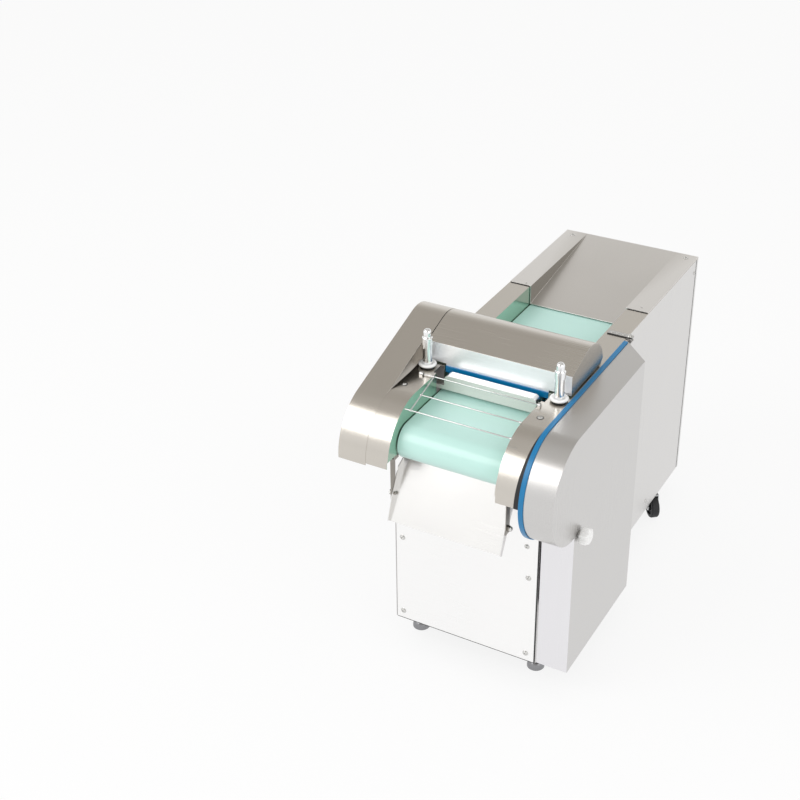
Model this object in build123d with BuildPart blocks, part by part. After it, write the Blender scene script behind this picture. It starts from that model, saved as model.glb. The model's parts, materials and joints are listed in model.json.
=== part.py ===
from build123d import *
import os
from math import acos, asin, atan2, cos, degrees, hypot, pi, radians, sin, sqrt, tan

# Vegetable cutting machine: a belt carries the produce from the rear hopper
# under a press belt to a chopping knife, and the pieces leave over the nose
# onto a tilting chute. Millimetres. X runs to the right seen from the front,
# Y towards the rear, Z up. In the sizes below, widths count from the middle
# plane, depths from the front panel's outer face and heights from the floor.

os.makedirs("parts", exist_ok=True)

# Fits shared by all pieces
RUN_FIT = 0.05
RUN_GAP = 0.3
SEAM = 1.0
SHEET = 2.0

# Cabinet
HALF_W = 200.0
BODY_D = 1030.0
BODY_LOW = 80.0
RIM_Z = 778.0
TUBE = 30.0
MOTOR_RAIL_Y = (215.0, 375.0)
GUSSET_W = 80.0
GUSSET_D = 90.0
GUSSET_T = 6.0
FOLD = 18.0
LOUVRE_Z = 300.0
LOUVRE_W = 90.0
LOUVRE_H = 7.0
LOUVRE_PITCH_X = 120.0
LOUVRE_PITCH_Z = 22.0

# Rounded nose at the front, shared by trough sides, side panels and covers
NOSE_R = 140.0
NOSE_Y = 4.0
NOSE_Z = RIM_Z - NOSE_R

# Trough and conveyor
FLANGE_W = 60.0
WALL_X = HALF_W - FLANGE_W
WALL_LOW = 656.0
BELT_TOP = 722.0
BELT_T = 3.0
BELT_SIDE_GAP = 6.0
BELT_HALF_W = WALL_X - BELT_SIDE_GAP
BELT_R = 45.0
FRONT_ROLLER_Y = -47.0
REAR_ROLLER_Y = 690.0
ROLLER_Z = BELT_TOP - BELT_R
ROLLER_R = BELT_R - BELT_T - RUN_GAP
ROLLER_SHAFT_R = 12.5
ROLLER_PLATE = 60.0
PRESS_PLATE = 40.0
PLATE_T = 7.0
BED_LIP = 24.0

# Hopper
HOPPER_Y = 645.0
HOPPER_GAP = 2.5
HOPPER_LIP = 14.0
REAR_REACH = BODY_D + SHEET

# Press belt above the conveyor
PRESS_GAP = 5.0
PRESS_R = 24.0
PRESS_BELT_T = 2.5
PRESS_SIDE_GAP = 28.0
PRESS_HALF_W = WALL_X - PRESS_SIDE_GAP
PRESS_DRIVE_Y = 300.0
PRESS_IDLER_Y = 200.0
PRESS_Z = BELT_TOP + PRESS_GAP + PRESS_R
PRESS_SHAFT_R = 8.0
ARM_T = 4.0
ARM_W = 34.0
ARM_TIE_R = 6.0

# Hood over the press belt, and the left housing that shares its back curve
HOOD_FRONT_Y = 156.0
HOOD_LEFT_X = -HALF_W + 11.0
HOOD_RIGHT_X = HALF_W - 4.0
BACK_R = 85.0
BACK_Y = 262.0
BACK_Z = RIM_Z + 2.0
HOOD_LOW = RIM_Z + 4.0
HOOD_BEVEL = 11.0
HOOD_PIN_Y = 336.0
HOOD_PIN_Z = RIM_Z + 22.0
HOOD_PIN_R = 4.0
SKIRT_LOW = 764.0
SKIRT_HALF_W = WALL_X - 2.0
EAR_T = 4.0
NOTCH_W = EAR_T + 5.0
EDGE_T = 3.0
HOUSING_D = 76.0
HOUSING_LOW_DROP = 6.0
HOUSING_LOW = NOSE_Z - HOUSING_LOW_DROP

# Common tangent of the nose circle and the back circle
REACH_Y = BACK_Y - NOSE_Y
REACH_Z = BACK_Z - NOSE_Z
TOP_SLOPE = atan2(REACH_Z, REACH_Y) - asin((NOSE_R - BACK_R) / hypot(REACH_Y, REACH_Z))

# Knife
KNIFE_Y = 130.0
POST_X = HALF_W - 24.0
POST_R = 12.0
POST_LOW = 440.0
POST_TOP = 840.0
STUD_R = 8.0
NUT_R = 13.5
NUT_H = 42.0
KNIFE_LIFT = 30.0
HOLDER_HALF_W = WALL_X - 16.0
HOLDER_LOW = 732.0
HOLDER_TOP = 773.0
HOLDER_T = 24.0
WING_T = 11.0
EYE_R = 17.0
BLADE_HALF_W = WALL_X - 10.0
BLADE_T = 3.0
BLADE_GAP = 0.6
BUSH_R = 23.0
CROSSHEAD_Z = 545.0
CROSSHEAD_H = 30.0
GUIDE_Z = 460.0
GUIDE_H = 30.0
GUIDE_D = 70.0
GUIDE_WALL = 12.0

# Crank shaft
SHAFT_Z = 300.0
SHAFT_R = 17.5
THROW = KNIFE_LIFT / 2
STRAP_R = 45.0
STRAP_T = 24.0
WRIST_Z = 522.0
WRIST_R = 10.0
CLEVIS_X = STRAP_T / 2 + 1.0
CLEVIS_T = 9.0
ECCENTRIC_X = STRAP_T / 2 + 0.5
ECCENTRIC_T = 22.0
BEARING_PLATE = 90.0
BEARING_T = 12.0
BEARING_R = 34.0
BEARING_NECK = 16.0
FLYWHEEL_R = 105.0
FEED_THROW = 22.0

# Motor
MOTOR_Y = 310.0
MOTOR_AXIS_H = 90.0
MOTOR_BASE_T = 8.0
MOTOR_BASE_Z = BODY_LOW + TUBE
MOTOR_FOOT_Z = MOTOR_BASE_Z + MOTOR_BASE_T
MOTOR_Z = MOTOR_FOOT_Z + MOTOR_AXIS_H
MOTOR_R = 72.0
MOTOR_LEFT_GAP = 70.0
MOTOR_RIGHT_GAP = 95.0
MOTOR_LEFT_X = -HALF_W + MOTOR_LEFT_GAP
MOTOR_RIGHT_X = HALF_W - MOTOR_RIGHT_GAP
MOTOR_SHIELD_T = 12.0
MOTOR_FOOT_W = 140.0
MOTOR_NECK_W = 80.0
MOTOR_SHAFT_R = 12.0
MOTOR_PULLEY_R = 35.0
TERMINAL_OFFSET = 70.0
TERMINAL_X = MOTOR_LEFT_X + TERMINAL_OFFSET
TERMINAL_W = 90.0
TERMINAL_D = 76.0
TERMINAL_H = 34.0
TENSION_SLOT_L = 120.0
TENSION_SLOT_W = 10.0
PULLEY_X = HALF_W + 14.0
PULLEY_W = 22.0
VBELT_W = 10.0
VBELT_T = 8.0

# Feed drive on the right, and gears in the left housing
CRANK_PLATE_X = PULLEY_X + PULLEY_W + 8.0
CRANK_PLATE_T = 8.0
CRANK_PLATE_R = 38.0
ARM_X = CRANK_PLATE_X
ROD_X = CRANK_PLATE_X + CRANK_PLATE_T + 4.0 + RUN_GAP
ROD_T = 8.0
CLUTCH_R = 34.0
CLUTCH_T = 16.0
CLUTCH_ARM_T = 10.0
CLUTCH_PIN = (40.0, 640.0)
LINK_PIN_R = 6.0
MODULE = 2.5
PRESSURE = radians(20)
PRESS_TEETH = 16
IDLE_TEETH = 30
BACKLASH = 0.35
GEAR_X = -HALF_W - 22.0
GEAR_T = 12.0
IDLE_DIRECTION = radians(-130)
CENTRES = MODULE * (PRESS_TEETH + IDLE_TEETH) / 2
IDLE_Y = PRESS_DRIVE_Y + CENTRES * cos(IDLE_DIRECTION)
IDLE_Z = PRESS_Z + CENTRES * sin(IDLE_DIRECTION)
SPROCKET_X = -HALF_W - 36.0
SPROCKET_T = 7.0
CHAIN_PITCH = 12.7
CHAIN_H = 8.0
CHAIN_ROLLER_R = 4.2
SPROCKET_TEETH = 16
SPROCKET_R = CHAIN_PITCH / (2 * sin(pi / SPROCKET_TEETH))

# Side cover on the right
COVER_D = 85.0
COVER_IN_X = HALF_W + SEAM + 1.0
COVER_OUT_X = HALF_W + COVER_D
COVER_REAR = 486.0
COVER_LOW = BODY_LOW + 2.0
PIVOT_X = HALF_W + 8.0
PIVOT_Y = COVER_REAR + 16.0
PIVOT_R = 4.0
PIVOT_PLATE_T = 3.0
LUG_T = 4.0
LUG_R = 8.0
TRIM_W = 9.0
TRIM_T = 3.0
LOCK_Y = 35.0
LOCK_Z = 490.0
LOCK_R = 25.0
LOCK_STUD_R = 5.0
KNOB_OUT = 37.0

# Guard grille
GRILLE_ROD_R = 3.0
GRILLE_Z = RIM_Z + GRILLE_ROD_R + RUN_GAP
GRILLE_PIVOT_Y = 85.0
GRILLE_CROSS_Y = (0.0, -70.0)
GRILLE_SIDE_X = WALL_X - 22.0
LUG_LEFT = (-WALL_X - 32.0, -WALL_X - 23.0)
LUG_RIGHT = (WALL_X + 2.5, WALL_X + 9.0)

# Discharge chute
CHUTE_HALF_W = WALL_X + 12.0
CHUTE_TOP = (-39.0, 616.0)
CHUTE_LIP = (-113.0, 474.0)
CHUTE_PIVOT = (-86.0, 539.0)
CHUTE_BOLT_R = 4.0

# Feet and casters
FOOT_X = HALF_W - 31.0
FOOT_Y = 79.0
FOOT_R = 23.0
FOOT_RIM_H = 7.0
FOOT_CUP_H = 26.0
FOOT_STEM_R = 8.0
WHEEL_R = 34.0
WHEEL_W = 24.0
CASTER_X = HALF_W - 34.0
CASTER_Y = 884.0
CASTER_TRAIL = 38.0
CASTER_TURN = radians(40)
CASTER_PLATE_W = 58.0
CASTER_PLATE_D = 74.0
CASTER_PLATE_T = 4.0
CROWN_R = 26.0
CROWN_T = 3.0
SWIVEL_R = 6.0
FORK_T = 2.5
FORK_GAP = 1.5
AXLE_R = 5.0

# Electric box on the left side
BOX_Y = 745.0
BOX_Z = 610.0
BOX_W = 84.0
BOX_H = 130.0
BOX_D = 44.0
BUTTON_R = 12.0
BUTTON_OUT = 9.0
BUTTON_SPAN = 56.0

# The origin lies on the floor under the middle of the machine's plan box
FRONT_REACH = NOSE_Y - NOSE_R - TRIM_T
CENTRE_X = (COVER_OUT_X + KNOB_OUT - HALF_W - HOUSING_D) / 2
CENTRE_Y = (FRONT_REACH + REAR_REACH) / 2


def side_plane(x):
    """Upright plane at x: its first axis runs to the rear, its second up, its normal to the right."""
    return Plane(origin=(x - CENTRE_X, -CENTRE_Y, 0), x_dir=(0, 1, 0), z_dir=(1, 0, 0))


def front_plane(y):
    """Upright plane at y: its first axis runs to the right, its second up, its normal to the front."""
    return Plane(origin=(-CENTRE_X, y - CENTRE_Y, 0), x_dir=(1, 0, 0), z_dir=(0, -1, 0))


def level(z):
    """Level plane at z: its first axis runs to the right, its second to the rear, its normal up."""
    return Plane(origin=(-CENTRE_X, -CENTRE_Y, z), x_dir=(1, 0, 0), z_dir=(0, 0, 1))


def fork_plane(hand, offset):
    """Upright plane square to a caster's axle, offset along it from the swivel axis."""
    return Plane(
        origin=(
            hand * CASTER_X - CENTRE_X + offset * cos(CASTER_TURN),
            CASTER_Y - CENTRE_Y + offset * sin(CASTER_TURN),
            0,
        ),
        x_dir=(-sin(CASTER_TURN), cos(CASTER_TURN), 0),
        z_dir=(cos(CASTER_TURN), sin(CASTER_TURN), 0),
    )


def polygon(*points):
    """Filled polygon in the current sketch."""
    Polygon(*points, align=None)


def block(x0, x1, y0, y1, mode=Mode.ADD):
    """Rectangle between two corners of the current sketch."""
    with Locations(((x0 + x1) / 2, (y0 + y1) / 2)):
        Rectangle(abs(x1 - x0), abs(y1 - y0), mode=mode)


def disc(centre, radius, mode=Mode.ADD):
    """Circle in the current sketch."""
    with Locations(centre):
        Circle(radius, mode=mode)


def loop_outline(first, first_r, second, second_r):
    """Filled outline of a belt over two pulleys, given as centres and radii."""
    run_y = second[0] - first[0]
    run_z = second[1] - first[1]
    heading = atan2(run_z, run_y)
    lean = asin((first_r - second_r) / hypot(run_y, run_z))
    upper = heading + pi / 2 - lean
    lower = heading - pi / 2 + lean
    spots = []
    for centre, radius, angle in (
        (first, first_r, upper),
        (second, second_r, upper),
        (second, second_r, lower),
        (first, first_r, lower),
    ):
        spots.append((centre[0] + radius * cos(angle), centre[1] + radius * sin(angle)))
    with BuildSketch() as outline:
        with BuildLine():
            Line(spots[0], spots[1])
            far = (second[0] + second_r * cos(heading), second[1] + second_r * sin(heading))
            ThreePointArc(spots[1], far, spots[2])
            Line(spots[2], spots[3])
            near = (first[0] - first_r * cos(heading), first[1] - first_r * sin(heading))
            ThreePointArc(spots[3], near, spots[0])
        make_face()
    return outline.sketch


def gear_outline(centre, teeth, phase):
    """Filled involute gear outline, with one tooth pointing in the phase direction."""
    pitch_r = MODULE * teeth / 2
    base_r = pitch_r * cos(PRESSURE)
    radii = (pitch_r - 1.25 * MODULE, base_r, pitch_r, pitch_r + MODULE)
    half_base = pi / (2 * teeth) - BACKLASH / (2 * pitch_r) + tan(PRESSURE) - PRESSURE
    corners = []
    for tooth in range(teeth):
        middle = phase + 2 * pi * tooth / teeth
        flank = []
        for radius in radii:
            unwound = acos(min(1.0, base_r / radius))
            flank.append((radius, half_base - tan(unwound) + unwound))
        for radius, half in flank:
            corners.append((radius, middle - half))
        for radius, half in reversed(flank):
            corners.append((radius, middle + half))
    points = [(centre[0] + r * cos(a), centre[1] + r * sin(a)) for r, a in corners]
    polygon(*points)


def nose_strip(outer_r, inner_r, rear, sweep):
    """Filled band along the rim and down round the nose by a sweep angle in degrees."""
    end = radians(90 + sweep)
    tip = (cos(end), sin(end))
    with BuildSketch() as outline:
        with BuildLine():
            Line((rear, NOSE_Z + outer_r), (NOSE_Y, NOSE_Z + outer_r))
            CenterArc((NOSE_Y, NOSE_Z), outer_r, 90, sweep)
            Line(
                (NOSE_Y + outer_r * tip[0], NOSE_Z + outer_r * tip[1]),
                (NOSE_Y + inner_r * tip[0], NOSE_Z + inner_r * tip[1]),
            )
            CenterArc((NOSE_Y, NOSE_Z), inner_r, 90 + sweep, -sweep)
            Line((NOSE_Y, NOSE_Z + inner_r), (rear, NOSE_Z + inner_r))
            Line((rear, NOSE_Z + inner_r), (rear, NOSE_Z + outer_r))
        make_face()
    return outline.sketch


# Side panels of the cabinet
PANEL_TOP = RIM_Z - SHEET - 0.2
for hand, sign in (("left", -1), ("right", 1)):
    with BuildPart() as side_panel:
        with BuildSketch(side_plane(sign * HALF_W)):
            with BuildLine():
                Line((0, BODY_LOW), (BODY_D, BODY_LOW))
                Line((BODY_D, BODY_LOW), (BODY_D, PANEL_TOP))
                Line((BODY_D, PANEL_TOP), (NOSE_Y, PANEL_TOP))
                CenterArc((NOSE_Y, NOSE_Z), PANEL_TOP - NOSE_Z, 90, 90)
                Line((NOSE_Y - PANEL_TOP + NOSE_Z, NOSE_Z), (0, NOSE_Z))
                Line((0, NOSE_Z), (0, BODY_LOW))
            make_face()
            with Locations((FRONT_ROLLER_Y, ROLLER_Z)):
                Circle(ROLLER_SHAFT_R + 4, mode=Mode.SUBTRACT)
            if sign > 0:
                with Locations((KNIFE_Y, SHAFT_Z)):
                    Circle(SHAFT_R + 4, mode=Mode.SUBTRACT)
                with Locations((MOTOR_Y, MOTOR_Z)):
                    Circle(MOTOR_SHAFT_R + 12, mode=Mode.SUBTRACT)
            else:
                with Locations((PRESS_DRIVE_Y, PRESS_Z)):
                    Circle(PRESS_SHAFT_R + 4, mode=Mode.SUBTRACT)
                with Locations((IDLE_Y, IDLE_Z)):
                    Circle(PRESS_SHAFT_R + 2, mode=Mode.SUBTRACT)
        extrude(amount=-sign * SHEET)
    side_panel.part.label = f"side_panel_{hand}"
    export_step(side_panel.part, f"parts/side_panel_{hand}.step")

# Front panel, with folded side edges
PANEL_HALF_W = HALF_W - SHEET - 0.5
with BuildPart() as front_panel:
    with BuildSketch(front_plane(0)):
        block(-PANEL_HALF_W, PANEL_HALF_W, BODY_LOW, NOSE_Z)
        block(-WALL_X, WALL_X, BELT_TOP - 2 * BELT_R - 6, NOSE_Z, mode=Mode.SUBTRACT)
    extrude(amount=-SHEET)
    with BuildSketch(level(BODY_LOW + TUBE + 2)):
        for sign in (-1, 1):
            block(sign * (PANEL_HALF_W - SHEET), sign * PANEL_HALF_W, SHEET, FOLD)
    extrude(amount=NOSE_Z - BODY_LOW - TUBE - 2)
front_panel.part.label = "front_panel"
export_step(front_panel.part, "parts/front_panel.step")

# Rear panel, with a field of louvre slots for the motor's air
with BuildPart() as rear_panel:
    with BuildSketch(front_plane(BODY_D)):
        block(-PANEL_HALF_W, PANEL_HALF_W, BODY_LOW, PANEL_TOP)
        with Locations((0, LOUVRE_Z)):
            with GridLocations(LOUVRE_PITCH_X, LOUVRE_PITCH_Z, 2, 6):
                SlotOverall(LOUVRE_W, LOUVRE_H, mode=Mode.SUBTRACT)
    extrude(amount=SHEET)
rear_panel.part.label = "rear_panel"
export_step(rear_panel.part, "parts/rear_panel.step")

# Base frame of square tube under the cabinet
FRAME_HALF_W = HALF_W - SHEET - 0.5
FRAME_FRONT = SHEET + 0.5
FRAME_REAR = BODY_D - SHEET - 0.5
with BuildPart() as base_frame:
    with BuildSketch(level(BODY_LOW)):
        block(-FRAME_HALF_W, FRAME_HALF_W, FRAME_FRONT, FRAME_REAR)
        with Locations((0, (FRAME_FRONT + FRAME_REAR) / 2)):
            Rectangle(
                2 * (FRAME_HALF_W - TUBE), FRAME_REAR - FRAME_FRONT - 2 * TUBE, mode=Mode.SUBTRACT
            )
        for rail_y in (*MOTOR_RAIL_Y, CASTER_Y):
            block(-FRAME_HALF_W, FRAME_HALF_W, rail_y - TUBE / 2, rail_y + TUBE / 2)
    extrude(amount=TUBE)
    with BuildSketch(level(BODY_LOW)):
        for sign in (-1, 1):
            block(
                sign * (FRAME_HALF_W - GUSSET_W), sign * FRAME_HALF_W, FRAME_FRONT, FRAME_FRONT + GUSSET_D
            )
    extrude(amount=GUSSET_T)
base_frame.part.label = "base_frame"
export_step(base_frame.part, "parts/base_frame.step")

# Levelling feet: a domed steel cup, the stem and a lock nut in one turned shape
with BuildPart() as leveling_feet:
    for sign in (-1, 1):
        foot_axis = (sign * FOOT_X - CENTRE_X, FOOT_Y - CENTRE_Y, 0)
        with BuildSketch(Plane(origin=foot_axis, x_dir=(1, 0, 0), z_dir=(0, -1, 0))):
            with BuildLine():
                Line((0, 0), (FOOT_R - 2, 0))
                Line((FOOT_R - 2, 0), (FOOT_R, 2))
                Line((FOOT_R, 2), (FOOT_R, FOOT_RIM_H))
                ThreePointArc(
                    (FOOT_R, FOOT_RIM_H),
                    (FOOT_R * 0.76, FOOT_RIM_H + (FOOT_CUP_H - FOOT_RIM_H) * 0.7),
                    (FOOT_STEM_R + 3, FOOT_CUP_H),
                )
                Line((FOOT_STEM_R + 3, FOOT_CUP_H), (FOOT_STEM_R, FOOT_CUP_H + 3))
                Line((FOOT_STEM_R, FOOT_CUP_H + 3), (FOOT_STEM_R, BODY_LOW))
                Line((FOOT_STEM_R, BODY_LOW), (0, BODY_LOW))
                Line((0, BODY_LOW), (0, 0))
            make_face()
        revolve(axis=Axis(foot_axis, (0, 0, 1)))
        with BuildSketch(level(BODY_LOW - 9)):
            with Locations((sign * FOOT_X, FOOT_Y)):
                RegularPolygon(FOOT_STEM_R * 1.6, 6)
        extrude(amount=9)
leveling_feet.part.label = "leveling_feet"
export_step(leveling_feet.part, "parts/leveling_feet.step")

# Trough sides: an upright wall, the rim flange and the rounded nose band
BEAM_SLOT_HALF = EYE_R + 4
for hand, sign in (("left", -1), ("right", 1)):
    with BuildPart() as trough_side:
        with BuildSketch(side_plane(sign * WALL_X)):
            with BuildLine():
                dip = WALL_LOW - NOSE_Z
                toe = NOSE_Y - sqrt(NOSE_R**2 - dip**2)
                turn = degrees(atan2(dip, toe - NOSE_Y)) - 90
                Line((BODY_D - SHEET - 0.5, WALL_LOW), (BODY_D - SHEET - 0.5, RIM_Z))
                Line((BODY_D - SHEET - 0.5, RIM_Z), (NOSE_Y, RIM_Z))
                CenterArc((NOSE_Y, NOSE_Z), NOSE_R, 90, turn)
                Line((toe, WALL_LOW), (BODY_D - SHEET - 0.5, WALL_LOW))
            make_face()
            for spot, radius in (
                ((FRONT_ROLLER_Y, ROLLER_Z), ROLLER_SHAFT_R + 3),
                ((REAR_ROLLER_Y, ROLLER_Z), ROLLER_SHAFT_R + 3),
                ((PRESS_DRIVE_Y, PRESS_Z), PRESS_SHAFT_R + 3),
            ):
                with Locations(spot):
                    Circle(radius, mode=Mode.SUBTRACT)
        extrude(amount=sign * SHEET)
        with BuildSketch(side_plane(sign * (WALL_X + SHEET))):
            add(nose_strip(NOSE_R, NOSE_R - SHEET, BODY_D - SHEET - 0.5, 90))
        extrude(amount=sign * (FLANGE_W - SHEET))
        with BuildSketch(level(BELT_TOP)):
            block(sign * (WALL_X - 1), sign * (WALL_X + 9), KNIFE_Y - BEAM_SLOT_HALF,
                  KNIFE_Y + BEAM_SLOT_HALF)
        extrude(amount=RIM_Z - BELT_TOP + 1, mode=Mode.SUBTRACT)
        with BuildSketch(level(RIM_Z - SHEET - 1)):
            disc((sign * POST_X, KNIFE_Y), POST_R + 4)
        extrude(amount=SHEET + 2, mode=Mode.SUBTRACT)
    trough_side.part.label = f"trough_side_{hand}"
    export_step(trough_side.part, f"parts/trough_side_{hand}.step")

# Belt bed: a slider plate with lips folded down along both walls
BED_TOP = BELT_TOP - BELT_T - RUN_GAP
with BuildPart() as belt_bed:
    with BuildSketch(front_plane(0)):
        bed_half = WALL_X - 0.2
        block(-bed_half, bed_half, BED_TOP - SHEET, BED_TOP)
        for sign in (-1, 1):
            block(sign * (bed_half - SHEET), sign * bed_half, BED_TOP - BED_LIP, BED_TOP)
    extrude(amount=-(REAR_ROLLER_Y - BELT_R - 4))
belt_bed.part.label = "belt_bed"
export_step(belt_bed.part, "parts/belt_bed.step")

# Conveyor belt
with BuildPart() as conveyor_belt:
    with BuildSketch(side_plane(-BELT_HALF_W)):
        with Locations(((FRONT_ROLLER_Y + REAR_ROLLER_Y) / 2, ROLLER_Z)):
            SlotCenterToCenter(REAR_ROLLER_Y - FRONT_ROLLER_Y, 2 * BELT_R)
            SlotCenterToCenter(
                REAR_ROLLER_Y - FRONT_ROLLER_Y, 2 * (BELT_R - BELT_T), mode=Mode.SUBTRACT
            )
    extrude(amount=2 * BELT_HALF_W)
conveyor_belt.part.label = "conveyor_belt"
export_step(conveyor_belt.part, "parts/conveyor_belt.step")

# Front roller with its through shaft and the chain sprocket on the left end
ROLLER_SHAFT_LEFT = SPROCKET_X - 6
with BuildPart() as front_roller:
    with BuildSketch(side_plane(-BELT_HALF_W + 2)):
        disc((FRONT_ROLLER_Y, ROLLER_Z), ROLLER_R)
    extrude(amount=2 * BELT_HALF_W - 4)
    chamfer(front_roller.edges(), 1.5)
    with BuildSketch(side_plane(ROLLER_SHAFT_LEFT)):
        disc((FRONT_ROLLER_Y, ROLLER_Z), ROLLER_SHAFT_R)
    extrude(amount=ARM_X + 14 - ROLLER_SHAFT_LEFT)
    with BuildSketch(side_plane(SPROCKET_X)):
        with Locations((FRONT_ROLLER_Y, ROLLER_Z)):
            Circle(SPROCKET_R)
            with PolarLocations(SPROCKET_R, SPROCKET_TEETH):
                Circle(CHAIN_ROLLER_R, mode=Mode.SUBTRACT)
    extrude(amount=SPROCKET_T)
front_roller.part.label = "front_roller"
export_step(front_roller.part, "parts/front_roller.step")

# Rear roller
with BuildPart() as rear_roller:
    with BuildSketch(side_plane(-BELT_HALF_W + 2)):
        disc((REAR_ROLLER_Y, ROLLER_Z), ROLLER_R)
    extrude(amount=2 * BELT_HALF_W - 4)
    chamfer(rear_roller.edges(), 1.5)
    with BuildSketch(side_plane(-WALL_X - 20)):
        disc((REAR_ROLLER_Y, ROLLER_Z), ROLLER_SHAFT_R)
    extrude(amount=2 * (WALL_X + 20))
rear_roller.part.label = "rear_roller"
export_step(rear_roller.part, "parts/rear_roller.step")

# Flanged bearings of both rollers, the press shaft and the gear shaft
with BuildPart() as roller_bearings:
    for sign in (-1, 1):
        for spot, radius, plate in (
            ((FRONT_ROLLER_Y, ROLLER_Z), ROLLER_SHAFT_R, ROLLER_PLATE),
            ((REAR_ROLLER_Y, ROLLER_Z), ROLLER_SHAFT_R, ROLLER_PLATE),
            ((PRESS_DRIVE_Y, PRESS_Z), PRESS_SHAFT_R, PRESS_PLATE),
        ):
            with BuildSketch(side_plane(sign * (WALL_X + SHEET))):
                with Locations(spot):
                    RectangleRounded(plate, plate, 8)
                    Circle(radius + RUN_FIT, mode=Mode.SUBTRACT)
            extrude(amount=sign * PLATE_T)
            with BuildSketch(side_plane(sign * (WALL_X + SHEET + PLATE_T))):
                with Locations(spot):
                    Circle(plate * 0.38)
                    Circle(radius + RUN_FIT, mode=Mode.SUBTRACT)
            extrude(amount=sign * PLATE_T)
    with BuildSketch(side_plane(-HALF_W - PLATE_T)):
        with Locations((IDLE_Y, IDLE_Z)):
            Circle(PRESS_PLATE / 2)
            Circle(PRESS_SHAFT_R + RUN_FIT, mode=Mode.SUBTRACT)
    extrude(amount=PLATE_T)
roller_bearings.part.label = "roller_bearings"
export_step(roller_bearings.part, "parts/roller_bearings.step")

# Hopper tray: flanges on the rim, low side walls and a floor that slopes to the belt
TRAY_X = WALL_X - 1.0
FLOOR_LOW = BELT_TOP + HOPPER_GAP
TRAY_TOP = RIM_Z + SHEET
with BuildPart() as hopper_tray:
    with BuildSketch(front_plane(HOPPER_Y)):
        for sign in (-1, 1):
            block(sign * (TRAY_X - SHEET), sign * HALF_W, RIM_Z, TRAY_TOP)
            block(sign * (TRAY_X - SHEET), sign * TRAY_X, FLOOR_LOW, TRAY_TOP)
    extrude(amount=-(BODY_D - HOPPER_Y))
    with BuildSketch(side_plane(-TRAY_X)):
        polygon(
            (HOPPER_Y, FLOOR_LOW),
            (BODY_D, RIM_Z),
            (REAR_REACH, RIM_Z - HOPPER_LIP),
            (REAR_REACH, TRAY_TOP),
            (BODY_D, TRAY_TOP),
            (HOPPER_Y, FLOOR_LOW + SHEET),
        )
    extrude(amount=2 * TRAY_X)
    with BuildSketch(side_plane(-HALF_W)):
        block(BODY_D, REAR_REACH, RIM_Z - HOPPER_LIP, TRAY_TOP)
    extrude(amount=2 * HALF_W)
    with BuildSketch(side_plane(-TRAY_X)):
        polygon((HOPPER_Y - 1, FLOOR_LOW - 60), (BODY_D, FLOOR_LOW - 60), (BODY_D, RIM_Z),
                (HOPPER_Y - 1, FLOOR_LOW - 0.14))
    extrude(amount=2 * TRAY_X, mode=Mode.SUBTRACT)
hopper_tray.part.label = "hopper_tray"
export_step(hopper_tray.part, "parts/hopper_tray.step")


def pod_outline(inset, low):
    """Side profile of the left housing, inset from its skin and cut level at the bottom."""
    nose_r = NOSE_R - inset
    back_r = BACK_R - inset
    lead = pi / 2 + TOP_SLOPE
    first = (NOSE_Y + nose_r * cos(lead), NOSE_Z + nose_r * sin(lead))
    second = (BACK_Y + back_r * cos(lead), BACK_Z + back_r * sin(lead))
    with BuildSketch() as outline:
        with BuildLine():
            Line((NOSE_Y - nose_r, low), (NOSE_Y - nose_r, NOSE_Z))
            CenterArc((NOSE_Y, NOSE_Z), nose_r, 180, degrees(lead) - 180)
            Line(first, second)
            CenterArc((BACK_Y, BACK_Z), back_r, degrees(lead), -degrees(lead))
            Line((BACK_Y + back_r, BACK_Z), (BACK_Y + back_r, low))
            Line((BACK_Y + back_r, low), (NOSE_Y - nose_r, low))
        make_face()
    return outline.sketch


def hood_outline(inset, low):
    """Side profile of the hood, inset from its skin and cut level at the bottom."""
    back_r = BACK_R - inset
    lead = pi / 2 + TOP_SLOPE
    front = HOOD_FRONT_Y + inset
    second = (BACK_Y + back_r * cos(lead), BACK_Z + back_r * sin(lead))
    brow = (front, second[1] - tan(TOP_SLOPE) * (second[0] - front))
    fall = asin((HOOD_LOW + HOOD_BEVEL + SHEET - BACK_Z) / back_r)
    heel = (BACK_Y + back_r * cos(fall), BACK_Z + back_r * sin(fall))
    with BuildSketch() as outline:
        with BuildLine():
            Line((front, low), brow)
            Line(brow, second)
            CenterArc((BACK_Y, BACK_Z), back_r, degrees(lead), degrees(fall - lead))
            Line(heel, (heel[0] - HOOD_BEVEL, heel[1] - HOOD_BEVEL))
            Line((heel[0] - HOOD_BEVEL, heel[1] - HOOD_BEVEL), (heel[0] - HOOD_BEVEL, low))
            Line((heel[0] - HOOD_BEVEL, low), (front, low))
        make_face()
    return outline.sketch


# Left housing: a pod over the chain and gears, open below, with a saddle beside the hood
HOUSING_IN_X = -HALF_W - 0.3
HOUSING_OUT_X = -HALF_W - HOUSING_D
SADDLE_X = HOOD_LEFT_X - 2.0
with BuildPart() as left_housing:
    with BuildSketch(side_plane(HOUSING_OUT_X)):
        add(pod_outline(0, HOUSING_LOW))
    extrude(amount=HOUSING_IN_X - HOUSING_OUT_X)
    with BuildSketch(side_plane(HOUSING_OUT_X + SHEET)):
        add(pod_outline(SHEET, HOUSING_LOW - 10))
    extrude(amount=HOUSING_IN_X - HOUSING_OUT_X, mode=Mode.SUBTRACT)
    for start_x, stop_x, skin in ((HOUSING_IN_X - 1, SADDLE_X, SHEET), (SADDLE_X - SHEET, SADDLE_X, 60)):
        with BuildSketch(side_plane(start_x)):
            add(pod_outline(0, HOUSING_LOW))
            add(pod_outline(skin, HOUSING_LOW - 10), mode=Mode.SUBTRACT)
            block(-2 * NOSE_R, HOOD_FRONT_Y, 0, 2 * RIM_Z, mode=Mode.SUBTRACT)
            block(-2 * NOSE_R, BODY_D, 0, RIM_Z + SEAM, mode=Mode.SUBTRACT)
        extrude(amount=stop_x - start_x)
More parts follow.
